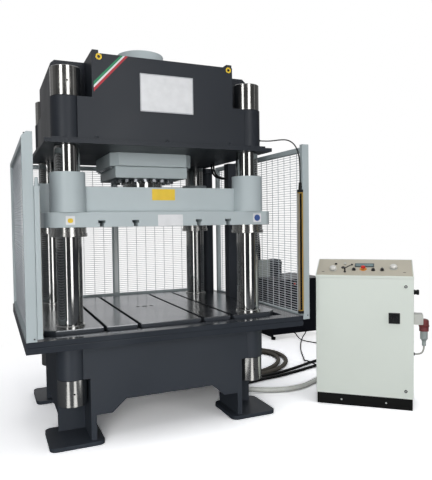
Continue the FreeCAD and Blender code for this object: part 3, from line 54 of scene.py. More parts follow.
def above(x, y, height):
    """A point given by its height above the floor."""
    return np.array([x, y, height - TABLE])


CABINET_CORNER = above(1.341, -0.672, 0.0)
CABINET_TURN = math.radians(-41.16)
ALONG = np.array([math.cos(CABINET_TURN), math.sin(CABINET_TURN), 0.0])
INTO = np.array([-math.sin(CABINET_TURN), math.cos(CABINET_TURN), 0.0])
UP = np.array([0.0, 0.0, 1.0])


def in_cabinet(u, v, height):
    """A point of the cabinet: u along its front, v into its depth, height above the floor."""
    return CABINET_CORNER + u * ALONG + v * INTO + height * UP


FRONT_TOP, BACK_TOP, TOP_DEPTH = 1.120, 1.235, 0.280  # the console's two edges, and its run
SLOPE = math.atan2(BACK_TOP - FRONT_TOP, TOP_DEPTH)
CLIMB = math.cos(SLOPE) * INTO + math.sin(SLOPE) * UP
OUT = math.cos(SLOPE) * UP - math.sin(SLOPE) * INTO


def on_console(u, d, h):
    """A point of the sloping console: u along it, d up the slope, h out of it."""
    return in_cabinet(0, 0, FRONT_TOP) + u * ALONG + d * CLIMB + h * OUT


# ------------------------------------------------------------------ materials


def linear(code):
    """A colour written as an sRGB hex value, in linear light."""
    part = np.array([int(code[k:k + 2], 16) for k in (1, 3, 5)]) / 255
    light = np.where(part <= 0.04045, part / 12.92, ((part + 0.055) / 1.055) ** 2.4)
    return (*light.tolist(), 1.0)


def add(tree, kind, sockets=None, **settings):
    """A node with its settings, and its sockets set to a value or linked to another's output."""
    node = tree.nodes.new("ShaderNode" + kind)
    for key, value in settings.items():
        setattr(node, key, value)
    for key, value in (sockets or {}).items():
        if isinstance(value, bpy.types.NodeSocket):
            tree.links.new(value, node.inputs[key])
        else:
            node.inputs[key].default_value = value
    return node


def pattern(tree, size_mm, stretch=(1, 1, 1), detail=2.0, lift=0.5):
    """Noise whose grains are size_mm across on the piece, drawn out by stretch on each axis."""
    spot = add(tree, "TexCoord").outputs["Object"]
    scale = [1000 / size_mm / s for s in stretch]
    spread = add(tree, "Mapping", {"Vector": spot, "Scale": scale}).outputs[0]
    sockets = {"Vector": spread, "Scale": 1.0, "Detail": detail, "Roughness": lift}
    return add(tree, "TexNoise", sockets).outputs["Fac"]


def ranged(tree, value, low, high, edges=(0.3, 0.7)):
    """A pattern's values carried to the range from low to high."""
    return add(tree, "MapRange", {"Value": value, "From Min": edges[0], "From Max": edges[1],
                                  "To Min": low, "To Max": high}).outputs[0]


def blended(tree, share, first, second):
    """Two colours mixed by a share."""
    return add(tree, "Mix", {0: share, 6: first, 7: second}, data_type="RGBA").outputs[2]


def surface(name, **sockets):
    """A material with one shader. Names of sockets have _ for a space."""
    made = bpy.data.materials.new(name)
    made.use_nodes = True
    shader = made.node_tree.nodes["Principled BSDF"]
    for key, value in sockets.items():
        shader.inputs[key.replace("_", " ")].default_value = value
    return made, made.node_tree, shader


def toned(code, factor):
    """A colour made lighter or darker."""
    return (*(min(1.0, c * factor) for c in linear(code)[:3]), 1.0)


def wire(tree, shader, colour=None, roughness=None, height=None, depth_mm=0.1, strength=0.3):
    """Link a pattern to a shader's colour, roughness and bump."""
    if colour is not None:
        tree.links.new(colour, shader.inputs["Base Color"])
    if roughness is not None:
        tree.links.new(roughness, shader.inputs["Roughness"])
    if height is not None:
        bump = add(tree, "Bump", {"Height": height, "Strength": strength,
                                  "Distance": depth_mm / 1000})
        tree.links.new(bump.outputs[0], shader.inputs["Normal"])


def enamel(name, code, rough, peel_mm=14.0, peel=0.12, drift=0.06):
    """Sprayed satin enamel: the tone drifts slowly over a plate, and the film has a fine peel.

    The real peel is 2 to 4 mm across, under half a pixel here, so it is drawn coarser.
    """
    made, tree, shader = surface(name, Roughness=rough, Specular_IOR_Level=0.45)
    cloud = pattern(tree, 420, detail=3)
    colour = blended(tree, ranged(tree, cloud, 0, 1), toned(code, 1 - drift),
                     toned(code, 1 + drift))
    wire(tree, shader, colour, ranged(tree, cloud, rough - 0.04, rough + 0.05),
         pattern(tree, peel_mm), 0.25, peel)
    return made


def worked_metal(name, code, rough, line_mm, stretch, depth_mm=0.06, strength=0.15, drift=0.06):
    """Bare steel with the lines its tool left: drawn out along the cut, close together across.

    Real tool lines are too fine to show in the render, so they are drawn coarser.
    """
    made, tree, shader = surface(name, Metallic=1.0, Roughness=rough)
    lines = pattern(tree, line_mm, stretch, detail=4, lift=0.7)
    cloud = pattern(tree, 160, detail=2)
    colour = blended(tree, ranged(tree, lines, 0, 1), toned(code, 1 - drift),
                     toned(code, 1 + drift))
    smear = ranged(tree, cloud, rough * 0.8, rough * 1.25)
    wire(tree, shader, colour, smear, lines, depth_mm, strength)
    return made


def moulded(name, code, rough, grain_mm=6.0, strength=0.2, drift=0.05, **sockets):
    """Moulded plastic or rubber: an even colour with the grain of its mould."""
    made, tree, shader = surface(name, Roughness=rough, **sockets)
    grain = pattern(tree, grain_mm, detail=1)
    cloud = pattern(tree, 60)
    colour = blended(tree, ranged(tree, cloud, 0, 1), toned(code, 1 - drift),
                     toned(code, 1 + drift))
    wire(tree, shader, colour, ranged(tree, cloud, rough - 0.03, rough + 0.05), grain, 0.15,
         strength)
    return made


def speckled(name, code, fleck_code, rough, fleck_mm, share=0.42, **sockets):
    """Hose cover of rubber with pale wear flecks, drawn coarser than real ones so that they show."""
    made, tree, shader = surface(name, Roughness=rough, **sockets)
    flecks = pattern(tree, fleck_mm, detail=3, lift=0.8)
    mask = ranged(tree, flecks, 0, 1, (1 - share, 1 - share + 0.12))
    colour = blended(tree, mask, linear(code), linear(fleck_code))
    wire(tree, shader, colour, None, flecks, 0.4, 0.35)
    return made


def height_of(tree):
    """The height of a spot in the object's own frame."""
    return add(tree, "SeparateXYZ", {0: add(tree, "TexCoord").outputs["Object"]}).outputs[2]


def table_steel():
    """Cast table, ground on top: long faint lines and a dull mirror. Its sides are painted.

    The paint ends just under the top edge, where the grinding took it off.
    """
    made, tree, shader = surface("ground_table_steel")
    code, paint_end = "#b3b5b8", -0.006
    bare = ranged(tree, height_of(tree), 0, 1, (paint_end - 0.0002, paint_end + 0.0002))
    lines = pattern(tree, 7, (50, 1, 1), detail=3, lift=0.6)
    cloud = pattern(tree, 300, detail=3)
    steel = blended(tree, ranged(tree, lines, 0, 1), toned(code, 0.94), toned(code, 1.06))
    tree.links.new(blended(tree, bare, linear("#33373d"), steel), shader.inputs["Base Color"])
    tree.links.new(bare, shader.inputs["Metallic"])
    sheen = ranged(tree, cloud, 0.17, 0.25)
    rough = add(tree, "Mix", {0: bare, 2: 0.45, 3: sheen}).outputs[0]
    tree.links.new(rough, shader.inputs["Roughness"])
    return made


def two_tone(name, low_code, high_code, level, rough):
    """Moulded nylon in two colours that meet at a height of the object's own frame."""
    made, tree, shader = surface(name)
    upper = ranged(tree, height_of(tree), 0, 1, (level - 0.0004, level + 0.0004))
    grain = pattern(tree, 6, detail=1)
    wire(tree, shader, blended(tree, upper, linear(low_code), linear(high_code)),
         ranged(tree, grain, rough - 0.03, rough + 0.04), grain, 0.15, 0.2)
    return made


# Sprayed enamel on welded steel: a dark blue-grey, made a little uneven by its peel.
ANTHRACITE = enamel("anthracite_enamel", "#24282e", 0.44)
# The same anthracite enamel made lighter for the base frame: painted light, standing in for the light that
# the base catches.
BASE_ENAMEL_PAINTED_LIGHTER = enamel("anthracite_enamel_painted_lighter", "#31363d", 0.46)
# The ledge's enamel has no peel: the columns show in it as small bright marks.
LEDGE_PAINT = enamel("anthracite_ledge_enamel", "#2f3339", 0.14, peel=0.0)
# Pale enamel on the cylinder, platen and guards: an even tone with a soft sheen.
PALE_BLUE = enamel("pale_blue_grey_enamel", "#abb5b7", 0.40, drift=0.03)
GUARD_GREY = enamel("guard_grey_enamel", "#a9b3b5", 0.38, drift=0.03)
# Powder coat baked on sheet steel: a tight grain breaks up its sheen.
CABINET_COAT = enamel("cabinet_powder_coat", "#e3eae1", 0.45, 10, 0.16, 0.015)
CONSOLE_SAND = enamel("console_powder_coat", "#bfb9a8", 0.40, 8, 0.1, 0.03)
BLACK_POWDER = enamel("black_powder_coat", "#0d0e0d", 0.50, 8)
# Machine enamel on the tank, motor and filter box: smooth, so their eased edges catch the light.
TANK_BLACK = enamel("tank_enamel", "#0c0e16", 0.35)
MOTOR_GREY = enamel("motor_enamel", "#34393e", 0.45)
BOX_GREY = enamel("filter_enamel", "#a9afaa", 0.42, 8)
# Paler enamel for a painted highlight: a strip that lightens the rear post's face where it catches the light.
POST_PAINTED_HIGHLIGHT = enamel("painted_highlight_enamel", "#dde1e1", 0.34, 8, 0.1, 0.02)
# Chromed rod: ground round, so its faint lines run round it and it mirrors the room in streaks.
CHROME = worked_metal("hard_chrome", "#bdbdbb", 0.085, 9, (40, 40, 1), 0.02, 0.08, 0.04)
# Lathe-turned steel with fine rings: on the nuts the highlights stand as upright streaks.
TURNED = worked_metal("turned_steel", "#d2d1cd", 0.18, 6, (200, 200, 1), 0.01, 0.03, 0.05)
# Ground steel is a dull mirror: the posts and columns show in it as blurred bands.
TABLE_STEEL = table_steel()
# Zinc plate is a flat, cloudy grey. Nickel plate is warmer and sharper.
ZINC = worked_metal("zinc_plated_steel", "#b8bbbf", 0.34, 20, (1, 1, 1), 0.05, 0.1)
NICKEL = worked_metal("nickel_plated_brass", "#a3a19c", 0.25, 8, (1, 1, 1), 0.02, 0.1)
# Coated wire: thin grey lines against white, and pale lines over dark parts.
WIRE = enamel("guard_wire_coat", "#c9ced2", 0.42, 8)
# Moulded ABS and nylon: an even colour, and small highlights that the mould's grain softens.
BLACK_ABS = moulded("black_abs", "#121315", 0.38)
WHITE_ABS = moulded("white_abs", "#dcdbd5", 0.32)
PALE_ABS = moulded("pale_grey_abs", "#c4c5bf", 0.36)
RED_ABS = moulded("red_abs", "#cc2414", 0.30)
ORANGE_ABS = moulded("orange_abs", "#d98a1e", 0.35)
# The light curtain's painted bar, and the beige cover along its side.
OCHRE_COAT = moulded("ochre_yellow_coat", "#a9872f", 0.40)
BEIGE_ABS = moulded("beige_abs", "#a29a8a", 0.40)
# The plug is red-brown where it meets the socket, and grey towards its lead.
SOCKET_RED = moulded("socket_red_nylon", "#6f3230", 0.36)
PLUG_NYLON = two_tone("plug_nylon", "#98a19f", "#74393a", 0.655 - TABLE, 0.40)
NYLON_BLACK = moulded("black_nylon", "#0c0c0d", 0.50)
# Rubber and cable sheath: matt, with hardly a highlight.
RUBBER = moulded("black_rubber", "#0f0f10", 0.55, 9, 0.3)
LEAD_GREY = moulded("grey_cable_sheath", "#a8a8a2", 0.45)
# White PVC shines softly, so that each rib of the conduit shows. Hose covers are dull.
CONDUIT = moulded("white_pvc_conduit", "#d4d6d0", 0.42, 30, 0.1, 0.05)
TAUPE_HOSE = speckled("taupe_hose_cover", "#57524a", "#8a8478", 0.62, 16)
BLACK_HOSE = speckled("black_hose_cover", "#0c0c0d", "#4d4c49", 0.50, 22, 0.34)
# Cut vinyl film: flat colour with a low sheen, for the bare plates and colour fields.
VINYL_WHITE = moulded("white_vinyl", "#d6d7d8", 0.35)
VINYL_GREY = moulded("grey_vinyl", "#b4b6b9", 0.35)
VINYL_YELLOW = moulded("yellow_vinyl", "#dcb92c", 0.35)
VINYL_GREEN = moulded("green_vinyl", "#1f7d52", 0.35)
VINYL_RED = moulded("red_vinyl", "#a8202f", 0.35)
VINYL_BLUE = moulded("blue_vinyl", "#33508f", 0.35)
# Clear windows are smooth and mirror sharply, and their cases don't.
SCREEN = moulded("display_window", "#74898a", 0.18)
SCREEN_CASE = moulded("display_case", "#454d4f", 0.35)
LENS = moulded("curtain_lens", "#111214", 0.12)
# Satin plated die-casting: pale, with a soft gleam.
SATIN_CAP = moulded("satin_die_cast_zinc", "#d6dad7", 0.30, Metallic=0.2)

# ------------------------------------------------------------------ shapes


def quads(rows, cols, close_rows=False, close_cols=False):
    """Four-sided faces of a grid of rows by cols points, closed on itself where asked."""
    i = np.arange(rows if close_rows else rows - 1)[:, None]
    j = np.arange(cols if close_cols else cols - 1)[None, :]
    i2, j2 = (i + 1) % rows, (j + 1) % cols
    corners = [i * cols + j, i * cols + j2, i2 * cols + j2, i2 * cols + j]
    return np.stack(np.broadcast_arrays(*corners), -1).reshape(-1, 4).tolist()


def grid(points, close_rows=False, close_cols=False):
    """The points and faces of a surface given as rows of points."""
    rows, cols = points.shape[:2]
    return points.reshape(-1, 3), quads(rows, cols, close_rows, close_cols)


def finish_mesh(mesh, crease):
    """Merge doubles, turn the faces outwards, and shade smooth up to the crease angle."""
    work = bmesh.new()
    work.from_mesh(mesh)
    bmesh.ops.remove_doubles(work, verts=work.verts, dist=1e-6)
    bmesh.ops.recalc_face_normals(work, faces=work.faces)
    work.to_mesh(mesh)
    work.free()
    mesh.polygons.foreach_set("use_smooth", np.ones(len(mesh.polygons), bool))
    mesh.set_sharp_from_angle(angle=math.radians(crease))


def piece(name, surfaces, finish, body="press", crease=35):
    """One object from surfaces of (points, faces), riding on a body."""
    points, faces, start = [], [], 0
    for spots, sides in surfaces:
        points.append(spots)
        faces += [[start + k for k in side] for side in sides]
        start += len(spots)
    mesh = bpy.data.meshes.new(name)
    mesh.from_pydata(np.concatenate(points).tolist(), [], faces)
    finish_mesh(mesh, crease)
    made = bpy.data.objects.new(name, mesh)
    scene.collection.objects.link(made)
    made.data.materials.append(finish)
    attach(made, body)
    return made


def frame_of(axis):
    """Two directions square to an axis, and the axis itself made one long."""
    axis = np.asarray(axis, float) / np.linalg.norm(axis)
    helper = UP if abs(axis[2]) < 0.9 else np.array([1.0, 0.0, 0.0])
    side = np.cross(helper, axis)
    side /= np.linalg.norm(side)
    return side, np.cross(axis, side), axis


def turned(profile, at, axis=UP, steps=64):
    """A profile of (radius, distance) turned round an axis: at + r(cos a, sin a) + d axis."""
    side, other, ahead = frame_of(axis)
    turn = np.linspace(0, 2 * math.pi, steps, endpoint=False)
    rim = np.cos(turn)[:, None] * side + np.sin(turn)[:, None] * other
    rows = np.asarray(profile, float)
    points = np.asarray(at) + rows[:, :1, None] * rim + rows[:, 1:, None] * ahead
    hollow = rows[0, 0] > 0
    return grid(points, hollow, True)


def slab(outline, lift):
    """A flat outline given thickness along lift, with both faces."""
    ring = np.asarray(outline, float)
    count = len(ring)
    points = np.concatenate([ring, ring + np.asarray(lift)])
    sides = [[k, (k + 1) % count, count + (k + 1) % count, count + k] for k in range(count)]
    caps = [list(range(count))[::-1], list(range(count, 2 * count))]
    return points, sides + caps


def rounded(width, height, radius, steps=5):
    """A rectangle with round corners about the middle: quarter circles at its four corners."""
    turn = np.linspace(0, math.pi / 2, steps)
    spots = []
    for k, (sx, sy) in enumerate(((1, 1), (-1, 1), (-1, -1), (1, -1))):
        angle = turn + k * math.pi / 2
        middle = np.array([sx * (width / 2 - radius), sy * (height / 2 - radius)])
        spots.append(middle + radius * np.stack([np.cos(angle), np.sin(angle)], -1))
    return np.concatenate(spots)


def laid(flat, at, across, upwards):
    """A flat outline laid on a plane: at + x across + y upwards."""
    return np.asarray(at) + flat[:, :1] * np.asarray(across) + flat[:, 1:] * np.asarray(upwards)


def eased(name, width, finish, body="press"):
    """The CAD node's solid with its edges sharper than 30 degrees rounded by width."""
    mesh = nodes[name].data.copy()
    mesh.name = name + "_eased"
    work = bmesh.new()
    work.from_mesh(mesh)
    bmesh.ops.remove_doubles(work, verts=work.verts, dist=1e-6)
    bmesh.ops.dissolve_limit(work, angle_limit=math.radians(1), verts=work.verts,
                             edges=work.edges)
    work.to_mesh(mesh)
    work.free()
    mesh.polygons.foreach_set("use_smooth", np.ones(len(mesh.polygons), bool))
    mesh.materials.clear()
    mesh.materials.append(finish)
    made = bpy.data.objects.new(name + "_eased", mesh)
    scene.collection.objects.link(made)
    edge = made.modifiers.new("edge", "BEVEL")
    edge.width = width
    edge.segments = 2
    edge.limit_method = "ANGLE"
    edge.angle_limit = math.radians(30)
    edge.harden_normals = True
    edge.use_clamp_overlap = True
    flat = made.modifiers.new("flat", "WEIGHTED_NORMAL")
    flat.weight = 100
    flat.keep_sharp = True
    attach(made, body)
    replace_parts(made, name)
    return made


def paint(finish, *names):
    """Give CAD nodes a material."""
    for name in names:
        for slot in nodes[name].material_slots:
            slot.material = finish


# ------------------------------------------------------------------ cords


BLOCK_FACE, GLAND_FACE, PORT_HEIGHT = 0.760, 0.362, 0.045


def route(points, height):
    """The points of a run that lies flat, each given its height above the floor."""
    return [(x, y, height) for x, y in points]


def floor_port(y, out):
    """A port of the hose block under the base, and a point straight out of it."""
    return [(BLOCK_FACE, y, PORT_HEIGHT), (BLOCK_FACE + out, y, PORT_HEIGHT)]


def gland(u, out):
    """A point straight out of one of the cabinet's glands, and the gland's end."""
    near, far = in_cabinet(u, GLAND_FACE, 0), in_cabinet(u, GLAND_FACE + out, 0)
    return [(far[0], far[1], PORT_HEIGHT), (near[0], near[1], PORT_HEIGHT)]


def spline(name, points):
    """A curve of order 3 with the route's points as its control points, heights above floor."""
    curve = bpy.data.curves.new(name, "CURVE")
    curve.dimensions = "3D"
    line = curve.splines.new("NURBS")
    line.points.add(len(points) - 1)
    flat = [c for x, y, height in points for c in (x, y, height - TABLE, 1.0)]
    line.points.foreach_set("co", flat)
    line.order_u = 3
    line.use_endpoint_u = True
    curve.resolution_u = 12
    return curve


def centreline(name, points):
    """The points that Blender itself draws along the route's curve."""
    holder = bpy.data.objects.new(name + "_line", spline(name + "_line", points))
    mesh = bpy.data.meshes.new_from_object(holder)
    line = np.empty(len(mesh.vertices) * 3)
    mesh.vertices.foreach_get("co", line)
    bpy.data.objects.remove(holder)
    return line.reshape(-1, 3)


def cord(name, points, diameter, finish):
    """A plain round cord along its route."""
    curve = spline(name, points)
    curve.bevel_depth = diameter / 2
    curve.bevel_resolution = 6
    curve.use_fill_caps = True
    made = bpy.data.objects.new(name, curve)
    scene.collection.objects.link(made)
    curve.materials.append(finish)
    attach(made, "press")
    return made


def ribbed_tube(line, radius, pitch, depth, steps=20):
    """A hose along a line whose radius falls by depth between ribs: r - depth sin(pi s/pitch)^2.

    The rings stay square to the line, turned no more than the line itself turns.
    """
    gaps = np.linalg.norm(np.diff(line, axis=0), axis=1)
    run = np.concatenate([[0], np.cumsum(gaps)])
    count = max(8, int(run[-1] / pitch) * 4)
    at = np.linspace(0, run[-1], count + 1)
    spots = np.stack([np.interp(at, run, line[:, k]) for k in range(3)], -1)
    ahead = np.gradient(spots, axis=0)
    ahead /= np.linalg.norm(ahead, axis=1, keepdims=True)
    side = np.cross(ahead, UP)
    side /= np.linalg.norm(side, axis=1, keepdims=True)
    rise = np.cross(side, ahead)
    turn = np.linspace(0, 2 * math.pi, steps, endpoint=False)
    wide = radius - depth * np.sin(math.pi * np.arange(count + 1) / 4) ** 2
    ring = np.cos(turn)[None, :, None] * side[:, None] + np.sin(turn)[None, :, None] * rise[:, None]
    points = spots[:, None] + wide[:, None, None] * ring
    closed = np.concatenate([np.repeat(spots[:1, None], steps, 1), points,
                             np.repeat(spots[-1:, None], steps, 1)])
    return grid(closed, False, True)


def ribbed_cord(name, points, diameter, pitch, depth, finish):
    """A ribbed cord along its route, its ribs following the points that Blender draws along the route's
    curve.
    """
    line = centreline(name, points)
    made = piece(name, [ribbed_tube(line, diameter / 2, pitch, depth)], finish, crease=60)
    return made


CONDUIT_ROUTE = floor_port(-0.190, 0.130) + route(
    [(1.060, -0.250), (1.250, -0.318), (1.440, -0.308), (1.612, -0.224), (1.785, -0.134),
     (1.965, -0.130), (2.109, -0.220), (2.181, -0.368), (2.164, -0.532)],
    0.026) + gland(0.553, 0.120)
SUPPLY_A_ROUTE = floor_port(0.110, 0.100) + route(
    [(1.010, 0.128), (1.249, 0.162), (1.567, 0.225), (1.809, 0.318), (2.059, 0.422),
     (2.280, 0.462), (2.465, 0.395), (2.570, 0.225), (2.590, 0.010), (2.550, -0.205),
     (2.470, -0.385), (2.385, -0.540), (2.292, -0.668)], 0.016) + gland(0.720, 0.110)
SUPPLY_B_ROUTE = floor_port(0.020, 0.100) + route(
    [(1.000, 0.036), (1.200, 0.088), (1.438, 0.107), (1.727, 0.185), (1.944, 0.253),
     (2.160, 0.296), (2.330, 0.232), (2.420, 0.092), (2.440, -0.088), (2.400, -0.275),
     (2.316, -0.445), (2.222, -0.600)], 0.016) + gland(0.640, 0.110)
RETURN_OUTER_ROUTE = floor_port(0.226, 0.110) + route(
    [(1.010, 0.216), (1.175, 0.206), (1.350, 0.230), (1.568, 0.326), (1.752, 0.500),
     (1.851, 0.714), (1.858, 0.948), (1.748, 1.122), (1.560, 1.230), (1.400, 1.340),
     (1.315, 1.545), (1.400, 1.750), (1.610, 1.845), (1.840, 1.872)],
    0.024) + [(2.050, 1.872, 0.062), (2.180, 1.872, 0.062)]
RETURN_INNER_ROUTE = floor_port(0.292, 0.110) + route(
    [(1.010, 0.284), (1.170, 0.272), (1.340, 0.304), (1.520, 0.398), (1.680, 0.550),
     (1.775, 0.730), (1.776, 0.920), (1.680, 1.060), (1.480, 1.160), (1.290, 1.310),
     (1.215, 1.530), (1.285, 1.760), (1.480, 1.915), (1.720, 1.985), (1.900, 1.992)],
    0.024) + [(2.070, 1.992, 0.062), (2.180, 1.992, 0.062)]
CABLE_A_ROUTE = [(2.497, 1.550, 0.080), (2.497, 1.505, 0.080), (2.493, 1.450, 0.044),
                 (2.503, 1.385, 0.014)] + route(
    [(2.530, 1.300), (2.585, 1.180), (2.645, 1.025), (2.690, 0.850), (2.720, 0.670),
     (2.732, 0.490), (2.730, 0.300), (2.712, 0.110), (2.672, -0.070), (2.606, -0.230),
     (2.532, -0.375), (2.450, -0.512), (2.374, -0.626), (2.298, -0.724)],
    0.008) + gland(0.765, 0.090)
CABLE_B_ROUTE = [(2.665, 1.550, 0.100), (2.665, 1.495, 0.100), (2.615, 1.445, 0.076),
                 (2.540, 1.392, 0.050), (2.450, 1.290, 0.022)] + route(
    [(2.350, 1.150), (2.250, 0.995), (2.150, 0.820), (2.068, 0.655), (1.985, 0.505)],
    0.008) + [(1.950, 0.400, 0.040), (1.940, 0.300, 0.044), (1.945, 0.210, 0.040),
              (1.968, 0.105, 0.014)] + route(
    [(2.035, 0.015), (2.130, -0.045), (2.205, -0.140), (2.248, -0.265), (2.245, -0.400),
     (2.228, -0.520), (2.170, -0.630)], 0.008) + gland(0.601, 0.080)
PLUG_ROUTE = [tuple(in_cabinet(u, 0.110, h) + TABLE * UP) for u, h in (
    (0.812, 0.4539), (0.8529, 0.4539), (0.884, 0.488), (0.884, 0.530))]
CURTAIN_ROUTE = [(1.032, -0.919, 1.900), (1.032, -0.919, 2.005), (1.030, -0.912, 2.110),
                 (1.020, -0.872, 2.200), (1.001, -0.795, 2.250), (0.978, -0.706, 2.262),
                 (0.952, -0.638, 2.262), (0.905, -0.600, 2.262), (0.845, -0.600, 2.262)]

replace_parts(ribbed_cord("floor_conduit_run", CONDUIT_ROUTE, 0.050, 0.012, 0.0016, CONDUIT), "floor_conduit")
for name, points, diameter, length, finish, stiffness, node in (
        ("supply_hose_a", SUPPLY_A_ROUTE, 0.030, 3.19, BLACK_HOSE, "stiff", "supply_hoses"),
        ("supply_hose_b", SUPPLY_B_ROUTE, 0.030, 2.79, BLACK_HOSE, "stiff", "supply_hoses"),
        ("return_hose_outer", RETURN_OUTER_ROUTE, 0.045, 3.38, TAUPE_HOSE, "stiff",
         "return_hoses"),
        ("return_hose_inner", RETURN_INNER_ROUTE, 0.045, 3.43, TAUPE_HOSE, "stiff",
         "return_hoses"),
        ("tank_cable_a", CABLE_A_ROUTE, 0.014, 2.66, RUBBER, "medium", "tank_cables"),
        ("tank_cable_b", CABLE_B_ROUTE, 0.014, 2.76, RUBBER, "medium", "tank_cables")):
    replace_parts(cord(name, points, diameter, finish), node)
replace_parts(cord("plug_lead_run", PLUG_ROUTE, 0.014, LEAD_GREY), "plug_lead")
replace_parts(cord("curtain_lead_run", CURTAIN_ROUTE, 0.010, RUBBER),
            "curtain_lead")
for k, y in enumerate((0.195, 0.245), start=1):
    lead = [(0.765, y, 2.157), (0.765, y, 2.075), (0.825, y, 2.013), (0.910, y, 2.013)]
    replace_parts(cord(f"duct_lead_{k}", lead, 0.018, RUBBER), "duct_leads")

# ------------------------------------------------------------------ columns and round steel
COLUMNS = [(sx * 0.720, sy * 0.600) for sx in (-1, 1) for sy in (-1, 1)]
SHAFT, BORE = 0.090, 0.080  # radii of a column and of its threaded ends


def at_columns(profile):
    """The same turned profile on all four columns, its heights above the floor."""
    return [turned(profile, above(x, y, 0)) for x, y in COLUMNS]


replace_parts(piece("column_shafts", at_columns(
    [(0, 0.295), (BORE, 0.295), (BORE, 0.480), (SHAFT, 0.480), (SHAFT, 2.490), (BORE, 2.490),
     (BORE, 2.688), (0.078, 2.690), (0, 2.690)]), CHROME), "columns")


def nut_profile(low, high):
    """A nut's wall: its bore, its outer face and a bevel at each end."""
    inner, outer, bevel = BORE + 0.0002, 0.105, 0.004
    return [(inner, low), (outer - bevel, low), (outer, low + bevel), (outer, high - bevel),
            (outer - bevel, high), (inner, high)]


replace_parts(piece("tie_nut_rings", at_columns(nut_profile(0.285, 0.480))
                  + at_columns(nut_profile(2.490, 2.700)), TURNED), "tie_nuts")
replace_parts(piece("column_collar_rings", at_columns(
    [(0.0903, 0.855), (0.103, 0.855), (0.103, 0.865), (0.099, 0.869), (0.0903, 0.869)]),
    TURNED), "column_collars")
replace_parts(piece("guide_ring_rings", at_columns(
    [(0.0901, 1.500), (0.128, 1.500), (0.131, 1.503), (0.131, 1.525), (0.125, 1.5255),
     (0.125, 1.567), (0.0901, 1.567)]), TURNED, "platen"), "guide_rings")
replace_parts(piece("rod_shaft", [turned(
    [(0, 1.862), (0.170, 1.862), (0.170, 2.900), (0.1799, 2.900), (0.1799, 2.975),
     (0, 2.975)], above(0, 0, 0), steps=96)], CHROME, "platen"), "piston_rod")
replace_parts(piece("barrel_shell", [turned(
    [(0.180, 2.157), (0.200, 2.157), (0.200, 2.760), (0.240, 2.760), (0.240, 2.795),
     (0.200, 2.795), (0.200, 3.020), (0.197, 3.027), (0.190, 3.030), (0, 3.030), (0, 2.985),
     (0.180, 2.985)], above(0, 0, 0), steps=96)], PALE_BLUE), "cylinder_barrel")

# ------------------------------------------------------------------ welded and plate parts
for name, width, finish, body in (
        ("base_frame", 0.004, BASE_ENAMEL_PAINTED_LIGHTER, "press"), ("bed_ledge", 0.003, LEDGE_PAINT, "press"),
        ("crosshead", 0.004, ANTHRACITE, "press"),
        ("crosshead_flange", 0.004, ANTHRACITE, "press"),
        ("hose_block", 0.003, ANTHRACITE, "press"),
        ("platen_plate", 0.003, PALE_BLUE, "platen"),
        ("platen_frame", 0.004, PALE_BLUE, "platen"),
        ("cylinder_head_upper", 0.004, PALE_BLUE, "press"),
        ("cylinder_head_lower", 0.004, PALE_BLUE, "press"),
        ("guard_left_frame", 0.002, GUARD_GREY, "press"),
        ("guard_right_frame", 0.002, GUARD_GREY, "press"),
        ("guard_rear_frame", 0.002, GUARD_GREY, "press"),
        ("oil_tank", 0.003, TANK_BLACK, "press"), ("tank_lid", 0.003, TANK_BLACK, "press"),
        ("tank_fittings", 0.004, BOX_GREY, "press"), ("cable_duct", 0.002, ANTHRACITE, "press"),
        ("riser_pipe", 0.002, ANTHRACITE, "press"), ("bed_plate", 0.0015, TABLE_STEEL, "press"),
        ("tank_feet", 0.002, NYLON_BLACK, "press"),
        ("cabinet_housing", 0.0015, CABINET_COAT, "press"),
        ("cabinet_door", 0.0015, CABINET_COAT, "door"),
        ("cabinet_plinth", 0.002, BLACK_POWDER, "press"),
        ("console_panel", 0.0012, CONSOLE_SAND, "press"),
        ("cabinet_gear", 0.002, ZINC, "press")):
    eased(name, width, finish, body)

paint(ZINC, "cylinder_bolts")
paint(WIRE, "guard_left_mesh", "guard_right_mesh", "guard_rear_mesh")
paint(TANK_BLACK, "pressure_pipe")
paint(SATIN_CAP, "door_lock_upper", "door_lock_lower")
paint(BLACK_ABS, "main_switch_plate", "main_switch_handle", "selector_left",
      "selector_middle", "selector_right", "cabinet_glands")
paint(PLUG_NYLON, "power_plug")

# ------------------------------------------------------------------ bare plates and colour fields
ACROSS = np.array([1.0, 0.0, 0.0])
TOWARDS = np.array([0.0, -1.0, 0.0])
SKIN = 0.0008


def label(name, x, height, width, tall, y, finish, body="press", thick=SKIN, radius=0.004):
    """A thin plate on a face that looks to the front, x and height at its middle."""
    outline = laid(rounded(width, tall, radius), above(x, y, height), ACROSS, UP)
    return piece(name, [slab(outline, thick * TOWARDS)], finish, body)


# where the fronts of the crosshead, the platen's frame and its plate lie
HEAD_FACE, BOX_FACE, PLATE_FACE = -0.700, -0.610, -0.700
label("sign_plate", 0.008, 2.5535, 0.416, 0.277, HEAD_FACE, VINYL_GREY, thick=0.003)
label("sign_field", 0.008, 2.5535, 0.400, 0.261, HEAD_FACE - 0.003, VINYL_WHITE, thick=0.0006)
label("yellow_plate", -0.004, 1.807, 0.184, 0.086, BOX_FACE, VINYL_YELLOW, "platen")
label("white_plate", 0.019, 1.611, 0.198, 0.084, PLATE_FACE, VINYL_WHITE, "platen")
label("left_square", -0.720, 1.618, 0.064, 0.062, PLATE_FACE, VINYL_WHITE, "platen")
label("left_field", -0.720, 1.616, 0.036, 0.032, PLATE_FACE - SKIN, VINYL_YELLOW, "platen",
      radius=0.012)
label("right_square", 0.760, 1.622, 0.072, 0.070, PLATE_FACE, VINYL_WHITE, "platen")
label("right_field", 0.760, 1.622, 0.052, 0.052, PLATE_FACE - SKIN, VINYL_BLUE, "platen",
      radius=0.0255)
for tag, x, height in (("left", -0.498, 2.779), ("right", 0.517, 2.784)):
    label(f"hoist_mark_{tag}", x, height, 0.046, 0.046, HEAD_FACE, VINYL_YELLOW, radius=0.0229)
    label(f"hoist_mark_{tag}_eye", x, height, 0.020, 0.020, HEAD_FACE - SKIN, BLACK_ABS,
          radius=0.0099)


